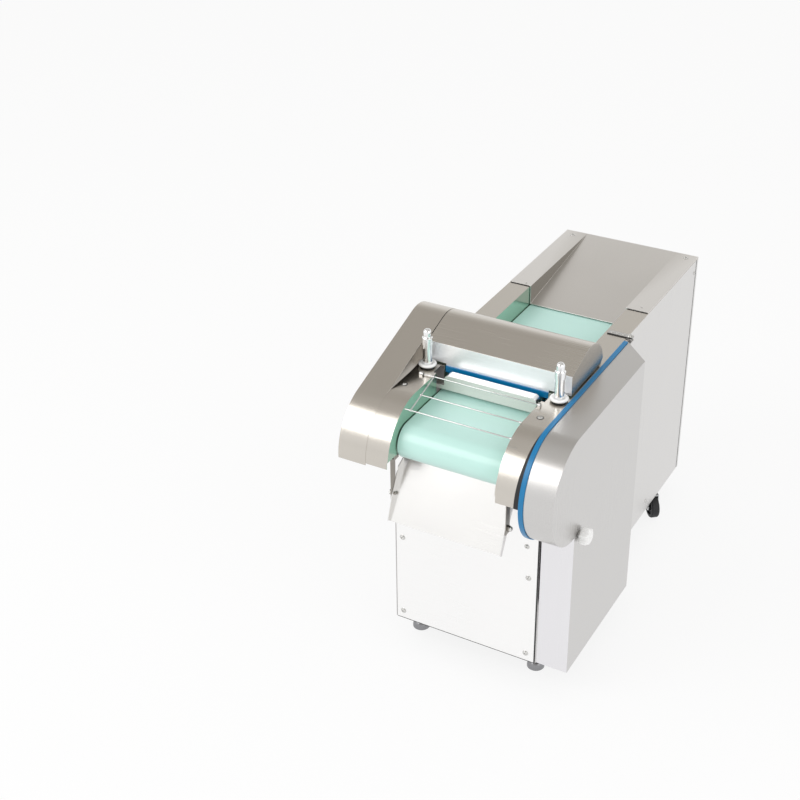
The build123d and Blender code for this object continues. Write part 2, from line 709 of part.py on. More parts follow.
left_housing.part.label = "left_housing"
export_step(left_housing.part, "parts/left_housing.step")

# Hood: a folded lid over the press belt, with end caps, a front skirt and pivot pins
CAP_IN_LEFT = HOOD_LEFT_X + SHEET
CAP_IN_RIGHT = HOOD_RIGHT_X - SHEET
with BuildPart() as hood:
    with BuildSketch(side_plane(HOOD_LEFT_X)):
        add(hood_outline(0, HOOD_LOW))
    extrude(amount=HOOD_RIGHT_X - HOOD_LEFT_X)
    with BuildSketch(side_plane(CAP_IN_LEFT)):
        add(hood_outline(SHEET, HOOD_LOW - 10))
    extrude(amount=CAP_IN_RIGHT - CAP_IN_LEFT, mode=Mode.SUBTRACT)
    with BuildSketch(side_plane(CAP_IN_LEFT)):
        block(HOOD_PIN_Y - 22, HOOD_PIN_Y + 20, HOOD_LOW - 1, HOOD_PIN_Z + 9)
    extrude(amount=NOTCH_W, mode=Mode.SUBTRACT)
    with BuildSketch(side_plane(CAP_IN_RIGHT)):
        block(HOOD_PIN_Y - 22, HOOD_PIN_Y + 20, HOOD_LOW - 1, HOOD_PIN_Z + 9)
    extrude(amount=-NOTCH_W, mode=Mode.SUBTRACT)
    with BuildSketch(front_plane(HOOD_FRONT_Y)):
        block(-SKIRT_HALF_W, SKIRT_HALF_W, SKIRT_LOW, HOOD_LOW + 6)
    extrude(amount=-SHEET)
    for inner_x, way in ((CAP_IN_LEFT, 1), (CAP_IN_RIGHT, -1)):
        with BuildSketch(side_plane(inner_x)):
            disc((HOOD_PIN_Y, HOOD_PIN_Z), HOOD_PIN_R)
        extrude(amount=way * (EAR_T + 2))
hood.part.label = "hood"
export_step(hood.part, "parts/hood.step")

# Blue edge trim on the hood's skirt
with BuildPart() as hood_trim:
    with BuildSketch(side_plane(-SKIRT_HALF_W)):
        block(HOOD_FRONT_Y - EDGE_T, HOOD_FRONT_Y + SHEET + EDGE_T, SKIRT_LOW - 4, RIM_Z - 1)
        block(HOOD_FRONT_Y, HOOD_FRONT_Y + SHEET, SKIRT_LOW, RIM_Z, mode=Mode.SUBTRACT)
    extrude(amount=2 * SKIRT_HALF_W)
hood_trim.part.label = "hood_trim"
export_step(hood_trim.part, "parts/hood_trim.step")

# Pivot lugs on the flanges: two ears for the hood and two blocks for the guard grille
with BuildPart() as pivot_lugs:
    for inner_x, way in ((CAP_IN_LEFT + 1, 1), (CAP_IN_RIGHT - 1, -1)):
        with BuildSketch(side_plane(inner_x)):
            disc((HOOD_PIN_Y, HOOD_PIN_Z), HOOD_PIN_R + 3)
            block(HOOD_PIN_Y - HOOD_PIN_R - 3, HOOD_PIN_Y + HOOD_PIN_R + 3, RIM_Z, HOOD_PIN_Z)
            disc((HOOD_PIN_Y, HOOD_PIN_Z), HOOD_PIN_R + RUN_FIT, mode=Mode.SUBTRACT)
        extrude(amount=way * EAR_T)
    for lug in (LUG_LEFT, LUG_RIGHT):
        with BuildSketch(side_plane(lug[0])):
            disc((GRILLE_PIVOT_Y, GRILLE_Z), GRILLE_ROD_R + 3)
            block(GRILLE_PIVOT_Y - 6, GRILLE_PIVOT_Y + 6, RIM_Z, GRILLE_Z)
            block(GRILLE_PIVOT_Y - 9, GRILLE_PIVOT_Y + 9, RIM_Z - 9, RIM_Z, mode=Mode.SUBTRACT)
            disc((GRILLE_PIVOT_Y, GRILLE_Z), GRILLE_ROD_R + RUN_FIT, mode=Mode.SUBTRACT)
        extrude(amount=lug[1] - lug[0])
pivot_lugs.part.label = "pivot_lugs"
export_step(pivot_lugs.part, "parts/pivot_lugs.step")

# Guard grille of welded rod
with BuildPart() as guard_grille:
    with BuildSketch(side_plane(LUG_LEFT[0] - 8)):
        disc((GRILLE_PIVOT_Y, GRILLE_Z), GRILLE_ROD_R)
    extrude(amount=LUG_RIGHT[1] + 2 - LUG_LEFT[0] + 8)
    for cross_y, half in zip(GRILLE_CROSS_Y, (WALL_X + 10, WALL_X - 3)):
        with BuildSketch(side_plane(-half)):
            disc((cross_y, GRILLE_Z), GRILLE_ROD_R)
        extrude(amount=2 * half)
    with BuildSketch(front_plane(GRILLE_CROSS_Y[-1])):
        for sign in (-1, 1):
            disc((sign * GRILLE_SIDE_X, GRILLE_Z), GRILLE_ROD_R * 0.99)
    extrude(amount=GRILLE_CROSS_Y[-1] - GRILLE_PIVOT_Y)
guard_grille.part.label = "guard_grille"
export_step(guard_grille.part, "parts/guard_grille.step")

# Knife guide posts
with BuildPart() as guide_posts:
    for sign in (-1, 1):
        spot = (sign * POST_X, KNIFE_Y)
        with BuildSketch(level(POST_LOW)):
            disc(spot, POST_R)
        extrude(amount=POST_TOP - POST_LOW)
        with BuildSketch(level(POST_TOP)):
            disc(spot, STUD_R)
        extrude(amount=NUT_H * 0.6)
guide_posts.part.label = "guide_posts"
export_step(guide_posts.part, "parts/guide_posts.step")

# Domed cap nuts on the posts, turned with a waist under the dome
with BuildPart() as dome_nuts:
    for sign in (-1, 1):
        post_axis = (sign * POST_X - CENTRE_X, KNIFE_Y - CENTRE_Y, POST_TOP)
        with BuildSketch(Plane(origin=post_axis, x_dir=(1, 0, 0), z_dir=(0, -1, 0))):
            with BuildLine():
                Line((STUD_R, 0), (NUT_R, 0))
                Line((NUT_R, 0), (NUT_R, NUT_H * 0.45))
                Line((NUT_R, NUT_H * 0.45), (NUT_R - 3, NUT_H * 0.53))
                Line((NUT_R - 3, NUT_H * 0.53), (NUT_R - 3, NUT_H - NUT_R + 3))
                CenterArc((0, NUT_H - NUT_R + 3), NUT_R - 3, 0, 90)
                Line((0, NUT_H), (0, NUT_H * 0.6))
                Line((0, NUT_H * 0.6), (STUD_R, NUT_H * 0.6))
                Line((STUD_R, NUT_H * 0.6), (STUD_R, 0))
            make_face()
        revolve(axis=Axis(post_axis, (0, 0, 1)))
dome_nuts.part.label = "dome_nuts"
export_step(dome_nuts.part, "parts/dome_nuts.step")

# White flanged guide bushings in the rim flanges
with BuildPart() as post_bushings:
    for sign in (-1, 1):
        spot = (sign * POST_X, KNIFE_Y)
        for base, height, radius in (
            (RIM_Z - SHEET, SHEET, POST_R + 4),
            (RIM_Z, 6, BUSH_R),
            (RIM_Z + 6, 7, POST_R + 5),
        ):
            with BuildSketch(level(base)):
                disc(spot, radius)
                disc(spot, POST_R + RUN_FIT, mode=Mode.SUBTRACT)
            extrude(amount=height)
post_bushings.part.label = "post_bushings"
export_step(post_bushings.part, "parts/post_bushings.step")

# Lower guide blocks on the side panels, one under each post
with BuildPart() as guide_blocks:
    for sign in (-1, 1):
        with BuildSketch(level(GUIDE_Z)):
            block(sign * (POST_X - POST_R - GUIDE_WALL), sign * (HALF_W - SHEET),
                  KNIFE_Y - GUIDE_D / 2, KNIFE_Y + GUIDE_D / 2)
            disc((sign * POST_X, KNIFE_Y), POST_R + RUN_FIT, mode=Mode.SUBTRACT)
        extrude(amount=GUIDE_H)
        inner_edges = guide_blocks.edges().filter_by(Axis.Z).group_by(Axis.X)
        chamfer(inner_edges[0 if sign > 0 else -1], GUIDE_WALL / 2)
guide_blocks.part.label = "guide_blocks"
export_step(guide_blocks.part, "parts/guide_blocks.step")

# Knife holder: a rounded bar with thin wings that pass through the trough walls to the posts
with BuildPart() as knife_holder:
    with BuildSketch(front_plane(KNIFE_Y - HOLDER_T / 2)):
        with Locations((0, (HOLDER_LOW + HOLDER_TOP) / 2)):
            RectangleRounded(2 * HOLDER_HALF_W, HOLDER_TOP - HOLDER_LOW, 14)
        block(-POST_X, POST_X, HOLDER_LOW, HOLDER_LOW + WING_T)
    extrude(amount=-HOLDER_T)
    with BuildSketch(level(HOLDER_LOW)):
        for sign in (-1, 1):
            disc((sign * POST_X, KNIFE_Y), EYE_R)
    extrude(amount=WING_T)
    with BuildSketch(level(HOLDER_LOW - 1)):
        for sign in (-1, 1):
            disc((sign * POST_X, KNIFE_Y), POST_R)
    extrude(amount=WING_T + 2, mode=Mode.SUBTRACT)
    with BuildSketch(front_plane(KNIFE_Y - BLADE_T / 2)):
        block(-BLADE_HALF_W, BLADE_HALF_W, HOLDER_LOW - 1, HOLDER_LOW + WING_T - 2)
    extrude(amount=-BLADE_T, mode=Mode.SUBTRACT)
knife_holder.part.label = "knife_holder"
export_step(knife_holder.part, "parts/knife_holder.step")

# Knife blade with a one-sided bevel
BLADE_LOW = BELT_TOP + BLADE_GAP
with BuildPart() as knife_blade:
    with BuildSketch(side_plane(-BLADE_HALF_W)):
        polygon(
            (KNIFE_Y - BLADE_T / 2, HOLDER_LOW + WING_T - 2),
            (KNIFE_Y - BLADE_T / 2, BLADE_LOW + 6),
            (KNIFE_Y + BLADE_T / 2 - 0.3, BLADE_LOW),
            (KNIFE_Y + BLADE_T / 2, BLADE_LOW),
            (KNIFE_Y + BLADE_T / 2, HOLDER_LOW + WING_T - 2),
        )
    extrude(amount=2 * BLADE_HALF_W)
knife_blade.part.label = "knife_blade"
export_step(knife_blade.part, "parts/knife_blade.step")

# Crosshead that ties the posts, with a clevis and its pin
with BuildPart() as crosshead:
    with BuildSketch(level(CROSSHEAD_Z)):
        block(-POST_X, POST_X, KNIFE_Y - 19, KNIFE_Y + 19)
        for sign in (-1, 1):
            disc((sign * POST_X, KNIFE_Y), POST_R + 9)
        for sign in (-1, 1):
            disc((sign * POST_X, KNIFE_Y), POST_R, mode=Mode.SUBTRACT)
    extrude(amount=CROSSHEAD_H)
    for sign in (-1, 1):
        with BuildSketch(side_plane(sign * CLEVIS_X)):
            disc((KNIFE_Y, WRIST_Z), WRIST_R + 9)
            block(KNIFE_Y - WRIST_R - 9, KNIFE_Y + WRIST_R + 9, WRIST_Z, CROSSHEAD_Z)
        extrude(amount=sign * CLEVIS_T)
    with BuildSketch(side_plane(-CLEVIS_X - 1)):
        disc((KNIFE_Y, WRIST_Z), WRIST_R)
    extrude(amount=2 * CLEVIS_X + 2)
crosshead.part.label = "crosshead"
export_step(crosshead.part, "parts/crosshead.step")

# Connecting rod: wrist eye, tapered shank and the eccentric strap
STRAP_Z = SHAFT_Z - THROW
with BuildPart() as connecting_rod:
    with BuildSketch(side_plane(-STRAP_T / 2)):
        disc((KNIFE_Y, STRAP_Z), STRAP_R + 14)
        disc((KNIFE_Y, WRIST_Z), WRIST_R + 9)
        polygon(
            (KNIFE_Y - 20, STRAP_Z + STRAP_R + 4),
            (KNIFE_Y + 20, STRAP_Z + STRAP_R + 4),
            (KNIFE_Y + 12, WRIST_Z - 8),
            (KNIFE_Y - 12, WRIST_Z - 8),
        )
        disc((KNIFE_Y, STRAP_Z), STRAP_R + RUN_FIT, mode=Mode.SUBTRACT)
        disc((KNIFE_Y, WRIST_Z), WRIST_R, mode=Mode.SUBTRACT)
    extrude(amount=STRAP_T)
connecting_rod.part.label = "connecting_rod"
export_step(connecting_rod.part, "parts/connecting_rod.step")

# Crank shaft with the knife eccentric beside the strap
with BuildPart() as crank_shaft:
    with BuildSketch(side_plane(-HALF_W + SHEET + 4)):
        disc((KNIFE_Y, SHAFT_Z), SHAFT_R)
    extrude(amount=CRANK_PLATE_X + HALF_W - SHEET - 4)
    with BuildSketch(side_plane(ECCENTRIC_X)):
        disc((KNIFE_Y, STRAP_Z), STRAP_R)
    extrude(amount=ECCENTRIC_T)
    with BuildSketch(side_plane(ECCENTRIC_X + ECCENTRIC_T)):
        disc((KNIFE_Y, SHAFT_Z), SHAFT_R + 10)
    extrude(amount=14)
crank_shaft.part.label = "crank_shaft"
export_step(crank_shaft.part, "parts/crank_shaft.step")

# Shaft bearings: square flange housings inside both side panels
with BuildPart() as shaft_bearings:
    for sign in (-1, 1):
        face_x = sign * (HALF_W - SHEET)
        with BuildSketch(side_plane(face_x)):
            with Locations((KNIFE_Y, SHAFT_Z)):
                RectangleRounded(BEARING_PLATE, BEARING_PLATE, 14)
                Circle(SHAFT_R + RUN_FIT, mode=Mode.SUBTRACT)
        extrude(amount=-sign * BEARING_T)
        with BuildSketch(side_plane(face_x - sign * BEARING_T)):
            with Locations((KNIFE_Y, SHAFT_Z)):
                Circle(BEARING_R)
                Circle(SHAFT_R + RUN_FIT, mode=Mode.SUBTRACT)
        extrude(amount=-sign * BEARING_NECK)
shaft_bearings.part.label = "shaft_bearings"
export_step(shaft_bearings.part, "parts/shaft_bearings.step")

# Flywheel pulley: grooved rim, web with holes and a hub
GROOVE_D = VBELT_T + RUN_GAP
with BuildPart() as flywheel:
    with BuildSketch(side_plane(PULLEY_X)):
        with Locations((KNIFE_Y, SHAFT_Z)):
            Circle(FLYWHEEL_R)
            Circle(SHAFT_R, mode=Mode.SUBTRACT)
    extrude(amount=PULLEY_W)
    with BuildSketch(side_plane(PULLEY_X)):
        with Locations((KNIFE_Y, SHAFT_Z)):
            Circle(FLYWHEEL_R - 22)
            Circle(SHAFT_R + 16, mode=Mode.SUBTRACT)
    extrude(amount=7, mode=Mode.SUBTRACT)
    with BuildSketch(side_plane(PULLEY_X + PULLEY_W)):
        with Locations((KNIFE_Y, SHAFT_Z)):
            Circle(FLYWHEEL_R - 22)
            Circle(SHAFT_R + 16, mode=Mode.SUBTRACT)
    extrude(amount=-7, mode=Mode.SUBTRACT)
    with BuildSketch(side_plane(PULLEY_X)):
        with Locations((KNIFE_Y, SHAFT_Z)):
            with PolarLocations((FLYWHEEL_R + SHAFT_R) / 2, 5):
                Circle(15)
    extrude(amount=PULLEY_W, mode=Mode.SUBTRACT)
    with BuildSketch(side_plane(PULLEY_X + (PULLEY_W - VBELT_W) / 2 - RUN_GAP)):
        with Locations((KNIFE_Y, SHAFT_Z)):
            Circle(FLYWHEEL_R + 1)
            Circle(FLYWHEEL_R - GROOVE_D, mode=Mode.SUBTRACT)
    extrude(amount=VBELT_W + 2 * RUN_GAP, mode=Mode.SUBTRACT)
flywheel.part.label = "flywheel"
export_step(flywheel.part, "parts/flywheel.step")

# Motor pulley with the motor's shaft
with BuildPart() as motor_pulley:
    with BuildSketch(side_plane(PULLEY_X)):
        disc((MOTOR_Y, MOTOR_Z), MOTOR_PULLEY_R)
    extrude(amount=PULLEY_W)
    with BuildSketch(side_plane(PULLEY_X + (PULLEY_W - VBELT_W) / 2 - RUN_GAP)):
        with Locations((MOTOR_Y, MOTOR_Z)):
            Circle(MOTOR_PULLEY_R + 1)
            Circle(MOTOR_PULLEY_R - GROOVE_D, mode=Mode.SUBTRACT)
    extrude(amount=VBELT_W + 2 * RUN_GAP, mode=Mode.SUBTRACT)
    with BuildSketch(side_plane(MOTOR_RIGHT_X - 2 * MOTOR_SHIELD_T + 4)):
        disc((MOTOR_Y, MOTOR_Z), MOTOR_SHAFT_R)
    extrude(amount=PULLEY_X + PULLEY_W - MOTOR_RIGHT_X + 2 * MOTOR_SHIELD_T)
motor_pulley.part.label = "motor_pulley"
export_step(motor_pulley.part, "parts/motor_pulley.step")

# Drive belt from the motor to the flywheel
with BuildPart() as drive_belt:
    with BuildSketch(side_plane(PULLEY_X + (PULLEY_W - VBELT_W) / 2)):
        add(loop_outline((KNIFE_Y, SHAFT_Z), FLYWHEEL_R, (MOTOR_Y, MOTOR_Z), MOTOR_PULLEY_R))
        add(
            loop_outline(
                (KNIFE_Y, SHAFT_Z), FLYWHEEL_R - VBELT_T, (MOTOR_Y, MOTOR_Z), MOTOR_PULLEY_R - VBELT_T
            ),
            mode=Mode.SUBTRACT,
        )
    extrude(amount=VBELT_W)
drive_belt.part.label = "drive_belt"
export_step(drive_belt.part, "parts/drive_belt.step")

# Motor: finned body, end shields, feet and terminal box
with BuildPart() as motor:
    with BuildSketch(side_plane(MOTOR_LEFT_X)):
        with Locations((MOTOR_Y, MOTOR_Z)):
            Circle(MOTOR_R)
            with PolarLocations(MOTOR_R, 24):
                Rectangle(12, 3)
        block(MOTOR_Y - MOTOR_FOOT_W / 2, MOTOR_Y + MOTOR_FOOT_W / 2, MOTOR_FOOT_Z, MOTOR_FOOT_Z + 12)
        block(MOTOR_Y - MOTOR_NECK_W / 2, MOTOR_Y + MOTOR_NECK_W / 2, MOTOR_FOOT_Z, MOTOR_Z)
    extrude(amount=MOTOR_RIGHT_X - MOTOR_LEFT_X - 2 * MOTOR_SHIELD_T)
    with BuildSketch(side_plane(MOTOR_RIGHT_X - 2 * MOTOR_SHIELD_T)):
        disc((MOTOR_Y, MOTOR_Z), MOTOR_R + 2)
    extrude(amount=MOTOR_SHIELD_T)
    with BuildSketch(side_plane(MOTOR_RIGHT_X - MOTOR_SHIELD_T)):
        disc((MOTOR_Y, MOTOR_Z), MOTOR_R / 2)
    extrude(amount=MOTOR_SHIELD_T)
    with BuildSketch(side_plane(MOTOR_RIGHT_X - 2 * MOTOR_SHIELD_T + 2)):
        disc((MOTOR_Y, MOTOR_Z), MOTOR_SHAFT_R + RUN_FIT)
    extrude(amount=2 * MOTOR_SHIELD_T, mode=Mode.SUBTRACT)
    with BuildSketch(level(MOTOR_Z + MOTOR_R - 6)):
        block(TERMINAL_X, TERMINAL_X + TERMINAL_W, MOTOR_Y - TERMINAL_D / 2, MOTOR_Y + TERMINAL_D / 2)
    extrude(amount=TERMINAL_H)
motor.part.label = "motor"
export_step(motor.part, "parts/motor.step")

# Motor base plate on the frame rails, with tension slots
with BuildPart() as motor_base:
    with BuildSketch(level(MOTOR_BASE_Z)):
        block(
            MOTOR_LEFT_X - 20, MOTOR_RIGHT_X + 35, MOTOR_RAIL_Y[0] - TUBE / 2, MOTOR_RAIL_Y[1] + TUBE / 2
        )
        for slot_x in (MOTOR_LEFT_X + 10, MOTOR_RIGHT_X + 5):
            with Locations((slot_x, MOTOR_Y)):
                SlotOverall(TENSION_SLOT_L, TENSION_SLOT_W, rotation=90, mode=Mode.SUBTRACT)
    extrude(amount=MOTOR_BASE_T)
motor_base.part.label = "motor_base"
export_step(motor_base.part, "parts/motor_base.step")

# Feed crank plate on the shaft end: a radial slot carries the stroke pin
FEED_PIN_Y = KNIFE_Y - FEED_THROW
with BuildPart() as feed_crank:
    with BuildSketch(side_plane(CRANK_PLATE_X)):
        disc((KNIFE_Y, SHAFT_Z), CRANK_PLATE_R)
        with Locations((KNIFE_Y - FEED_THROW, SHAFT_Z)):
            SlotOverall(30, 9, mode=Mode.SUBTRACT)
    extrude(amount=CRANK_PLATE_T)
    with BuildSketch(side_plane(CRANK_PLATE_X)):
        disc((FEED_PIN_Y, SHAFT_Z), LINK_PIN_R)
    extrude(amount=ROD_X - RUN_GAP - CRANK_PLATE_X)
feed_crank.part.label = "feed_crank"
export_step(feed_crank.part, "parts/feed_crank.step")

# One-way clutch with its arm on the front roller's shaft
with BuildPart() as clutch_arm:
    with BuildSketch(side_plane(ARM_X)):
        disc((FRONT_ROLLER_Y, ROLLER_Z), CLUTCH_R - 4)
        disc(CLUTCH_PIN, LINK_PIN_R + 7)
        arm_y = CLUTCH_PIN[0] - FRONT_ROLLER_Y
        arm_z = CLUTCH_PIN[1] - ROLLER_Z
        reach = hypot(arm_y, arm_z)
        side_y = -arm_z / reach
        side_z = arm_y / reach
        polygon(
            (FRONT_ROLLER_Y + 20 * side_y, ROLLER_Z + 20 * side_z),
            (CLUTCH_PIN[0] + 11 * side_y, CLUTCH_PIN[1] + 11 * side_z),
            (CLUTCH_PIN[0] - 11 * side_y, CLUTCH_PIN[1] - 11 * side_z),
            (FRONT_ROLLER_Y - 20 * side_y, ROLLER_Z - 20 * side_z),
        )
        disc((FRONT_ROLLER_Y, ROLLER_Z), ROLLER_SHAFT_R + RUN_FIT, mode=Mode.SUBTRACT)
    extrude(amount=CLUTCH_ARM_T)
    with BuildSketch(side_plane(ARM_X - CLUTCH_T)):
        disc((FRONT_ROLLER_Y, ROLLER_Z), CLUTCH_R)
        disc((FRONT_ROLLER_Y, ROLLER_Z), ROLLER_SHAFT_R + RUN_FIT, mode=Mode.SUBTRACT)
    extrude(amount=CLUTCH_T)
    with BuildSketch(side_plane(ARM_X + CLUTCH_ARM_T - 2)):
        disc(CLUTCH_PIN, LINK_PIN_R)
    extrude(amount=ROD_X + ROD_T + 3 - ARM_X - CLUTCH_ARM_T + 2)
clutch_arm.part.label = "clutch_arm"
export_step(clutch_arm.part, "parts/clutch_arm.step")

# Feed rod between the crank plate and the clutch arm
with BuildPart() as feed_rod:
    with BuildSketch(side_plane(ROD_X)):
        foot = (FEED_PIN_Y, SHAFT_Z)
        lean_y = CLUTCH_PIN[0] - foot[0]
        lean_z = CLUTCH_PIN[1] - foot[1]
        rod_length = hypot(lean_y, lean_z)
        off_y = 7 * lean_z / rod_length
        off_z = -7 * lean_y / rod_length
        disc(foot, LINK_PIN_R + 7)
        disc(CLUTCH_PIN, LINK_PIN_R + 7)
        polygon(
            (foot[0] + off_y, foot[1] + off_z),
            (CLUTCH_PIN[0] + off_y, CLUTCH_PIN[1] + off_z),
            (CLUTCH_PIN[0] - off_y, CLUTCH_PIN[1] - off_z),
            (foot[0] - off_y, foot[1] - off_z),
        )
        disc(foot, LINK_PIN_R + RUN_FIT, mode=Mode.SUBTRACT)
        disc(CLUTCH_PIN, LINK_PIN_R + RUN_FIT, mode=Mode.SUBTRACT)
    extrude(amount=ROD_T)
feed_rod.part.label = "feed_rod"
export_step(feed_rod.part, "parts/feed_rod.step")

# Gear shaft in the left housing: spur gear and chain sprocket
with BuildPart() as gear_shaft:
    with BuildSketch(side_plane(SPROCKET_X - 5)):
        disc((IDLE_Y, IDLE_Z), PRESS_SHAFT_R)
    extrude(amount=-HALF_W + 4 - SPROCKET_X + 5)
    with BuildSketch(side_plane(GEAR_X)):
        gear_outline((IDLE_Y, IDLE_Z), IDLE_TEETH, IDLE_DIRECTION + pi)
    extrude(amount=GEAR_T)
    with BuildSketch(side_plane(SPROCKET_X)):
        with Locations((IDLE_Y, IDLE_Z)):
            Circle(SPROCKET_R)
            with PolarLocations(SPROCKET_R, SPROCKET_TEETH):
                Circle(CHAIN_ROLLER_R, mode=Mode.SUBTRACT)
    extrude(amount=SPROCKET_T)
gear_shaft.part.label = "gear_shaft"
export_step(gear_shaft.part, "parts/gear_shaft.step")

# Feed chain over the two sprockets
with BuildPart() as feed_chain:
    with BuildSketch(side_plane(SPROCKET_X + 1)):
        front = (FRONT_ROLLER_Y, ROLLER_Z)
        rear = (IDLE_Y, IDLE_Z)
        add(loop_outline(front, SPROCKET_R + CHAIN_H, rear, SPROCKET_R + CHAIN_H - 0.01))
        add(
            loop_outline(front, SPROCKET_R + RUN_GAP, rear, SPROCKET_R + RUN_GAP - 0.01),
            mode=Mode.SUBTRACT,
        )
    extrude(amount=SPROCKET_T - 2)
feed_chain.part.label = "feed_chain"
export_step(feed_chain.part, "parts/feed_chain.step")

# Press drive roller with its shaft and pinion
PRESS_ROLLER_R = PRESS_R - PRESS_BELT_T - RUN_GAP
with BuildPart() as press_drive_roller:
    with BuildSketch(side_plane(-PRESS_HALF_W)):
        disc((PRESS_DRIVE_Y, PRESS_Z), PRESS_ROLLER_R)
    extrude(amount=2 * PRESS_HALF_W)
    with BuildSketch(side_plane(GEAR_X - 2)):
        disc((PRESS_DRIVE_Y, PRESS_Z), PRESS_SHAFT_R)
    extrude(amount=WALL_X + 18 - GEAR_X + 2)
    with BuildSketch(side_plane(GEAR_X)):
        gear_outline((PRESS_DRIVE_Y, PRESS_Z), PRESS_TEETH, IDLE_DIRECTION + pi / PRESS_TEETH)
    extrude(amount=GEAR_T)
press_drive_roller.part.label = "press_drive_roller"
export_step(press_drive_roller.part, "parts/press_drive_roller.step")

# Press arms hang on the drive shaft and carry the idler
ARM_OUT_X = PRESS_HALF_W + 3 + ARM_T
with BuildPart() as press_arms:
    for sign in (-1, 1):
        with BuildSketch(side_plane(sign * (ARM_OUT_X - ARM_T))):
            with Locations(((PRESS_DRIVE_Y + PRESS_IDLER_Y) / 2, PRESS_Z)):
                SlotCenterToCenter(PRESS_DRIVE_Y - PRESS_IDLER_Y, ARM_W)
            disc((PRESS_DRIVE_Y, PRESS_Z), PRESS_SHAFT_R + RUN_FIT, mode=Mode.SUBTRACT)
            disc((PRESS_IDLER_Y, PRESS_Z), PRESS_SHAFT_R + RUN_FIT, mode=Mode.SUBTRACT)
        extrude(amount=sign * ARM_T)
    with BuildSketch(side_plane(-ARM_OUT_X + 1)):
        disc(((PRESS_DRIVE_Y + PRESS_IDLER_Y) / 2, PRESS_Z), ARM_TIE_R)
    extrude(amount=2 * ARM_OUT_X - 2)
press_arms.part.label = "press_arms"
export_step(press_arms.part, "parts/press_arms.step")

# Press idler roller
with BuildPart() as press_idler:
    with BuildSketch(side_plane(-PRESS_HALF_W)):
        disc((PRESS_IDLER_Y, PRESS_Z), PRESS_ROLLER_R)
    extrude(amount=2 * PRESS_HALF_W)
    with BuildSketch(side_plane(-ARM_OUT_X)):
        disc((PRESS_IDLER_Y, PRESS_Z), PRESS_SHAFT_R)
    extrude(amount=2 * ARM_OUT_X)
press_idler.part.label = "press_idler"
export_step(press_idler.part, "parts/press_idler.step")

# Press belt
with BuildPart() as press_belt:
    with BuildSketch(side_plane(-PRESS_HALF_W + 1)):
        with Locations(((PRESS_DRIVE_Y + PRESS_IDLER_Y) / 2, PRESS_Z)):
            SlotCenterToCenter(PRESS_DRIVE_Y - PRESS_IDLER_Y, 2 * PRESS_R)
            SlotCenterToCenter(
                PRESS_DRIVE_Y - PRESS_IDLER_Y, 2 * (PRESS_R - PRESS_BELT_T), mode=Mode.SUBTRACT
            )
    extrude(amount=2 * PRESS_HALF_W - 2)
press_belt.part.label = "press_belt"
export_step(press_belt.part, "parts/press_belt.step")


# Side cover: one deep shell over the drive, open towards the cabinet and below
BEVEL_D = COVER_OUT_X - COVER_IN_X
LOWER_LUG_Z = COVER_LOW + 6
UPPER_LUG_Z = RIM_Z - SHEET - TRIM_T - RUN_GAP - LUG_T
with BuildPart() as side_cover:
    with BuildSketch(side_plane(COVER_IN_X)):
        with BuildLine():
            Line((COVER_REAR, COVER_LOW), (COVER_REAR, RIM_Z))
            Line((COVER_REAR, RIM_Z), (NOSE_Y, RIM_Z))
            CenterArc((NOSE_Y, NOSE_Z), NOSE_R, 90, 180)
            Line((NOSE_Y, NOSE_Z - NOSE_R), (NOSE_Y, COVER_LOW))
            Line((NOSE_Y, COVER_LOW), (COVER_REAR, COVER_LOW))
        make_face()
    extrude(amount=BEVEL_D)
    with BuildSketch(level(BODY_LOW)):
        polygon(
            (COVER_IN_X, COVER_REAR),
            (COVER_OUT_X, COVER_REAR - BEVEL_D),
            (COVER_OUT_X + 1, COVER_REAR + 1),
        )
    extrude(amount=RIM_Z, mode=Mode.SUBTRACT)
    inner_face = side_cover.faces().sort_by(Axis.X)[0]
    bottom_face = side_cover.faces().sort_by(Axis.Z)[0]
    offset(amount=-SHEET, openings=[inner_face, bottom_face], kind=Kind.INTERSECTION)
    for lug_low in (LOWER_LUG_Z, UPPER_LUG_Z):
        with BuildSketch(level(lug_low)):
            disc((PIVOT_X, PIVOT_Y), LUG_R)
            polygon(
                (PIVOT_X - 5, PIVOT_Y),
                (PIVOT_X - 5, COVER_REAR - 14),
                (PIVOT_X + LUG_R, COVER_REAR - 22),
                (PIVOT_X + LUG_R, PIVOT_Y),
            )
            disc((PIVOT_X, PIVOT_Y), PIVOT_R + RUN_FIT, mode=Mode.SUBTRACT)
        extrude(amount=LUG_T)
    with BuildSketch(side_plane(COVER_OUT_X - SHEET - 1)):
        disc((LOCK_Y, LOCK_Z), LOCK_STUD_R + RUN_FIT)
    extrude(amount=SHEET + 2, mode=Mode.SUBTRACT)
side_cover.part.label = "side_cover"
export_step(side_cover.part, "parts/side_cover.step")

# Blue U-shaped trim along the cover's inner edge
TRIM_REAR = COVER_REAR - TRIM_W - 4
with BuildPart() as cover_trim:
    with BuildSketch(side_plane(HALF_W + SEAM / 2)):
        add(nose_strip(NOSE_R + TRIM_T, NOSE_R - SHEET - TRIM_T, TRIM_REAR, 178))
    extrude(amount=TRIM_W)
    with BuildSketch(side_plane(COVER_IN_X)):
        add(nose_strip(NOSE_R, NOSE_R - SHEET, COVER_REAR, 179.9))
    extrude(amount=TRIM_W, mode=Mode.SUBTRACT)
cover_trim.part.label = "cover_trim"
export_step(cover_trim.part, "parts/cover_trim.step")

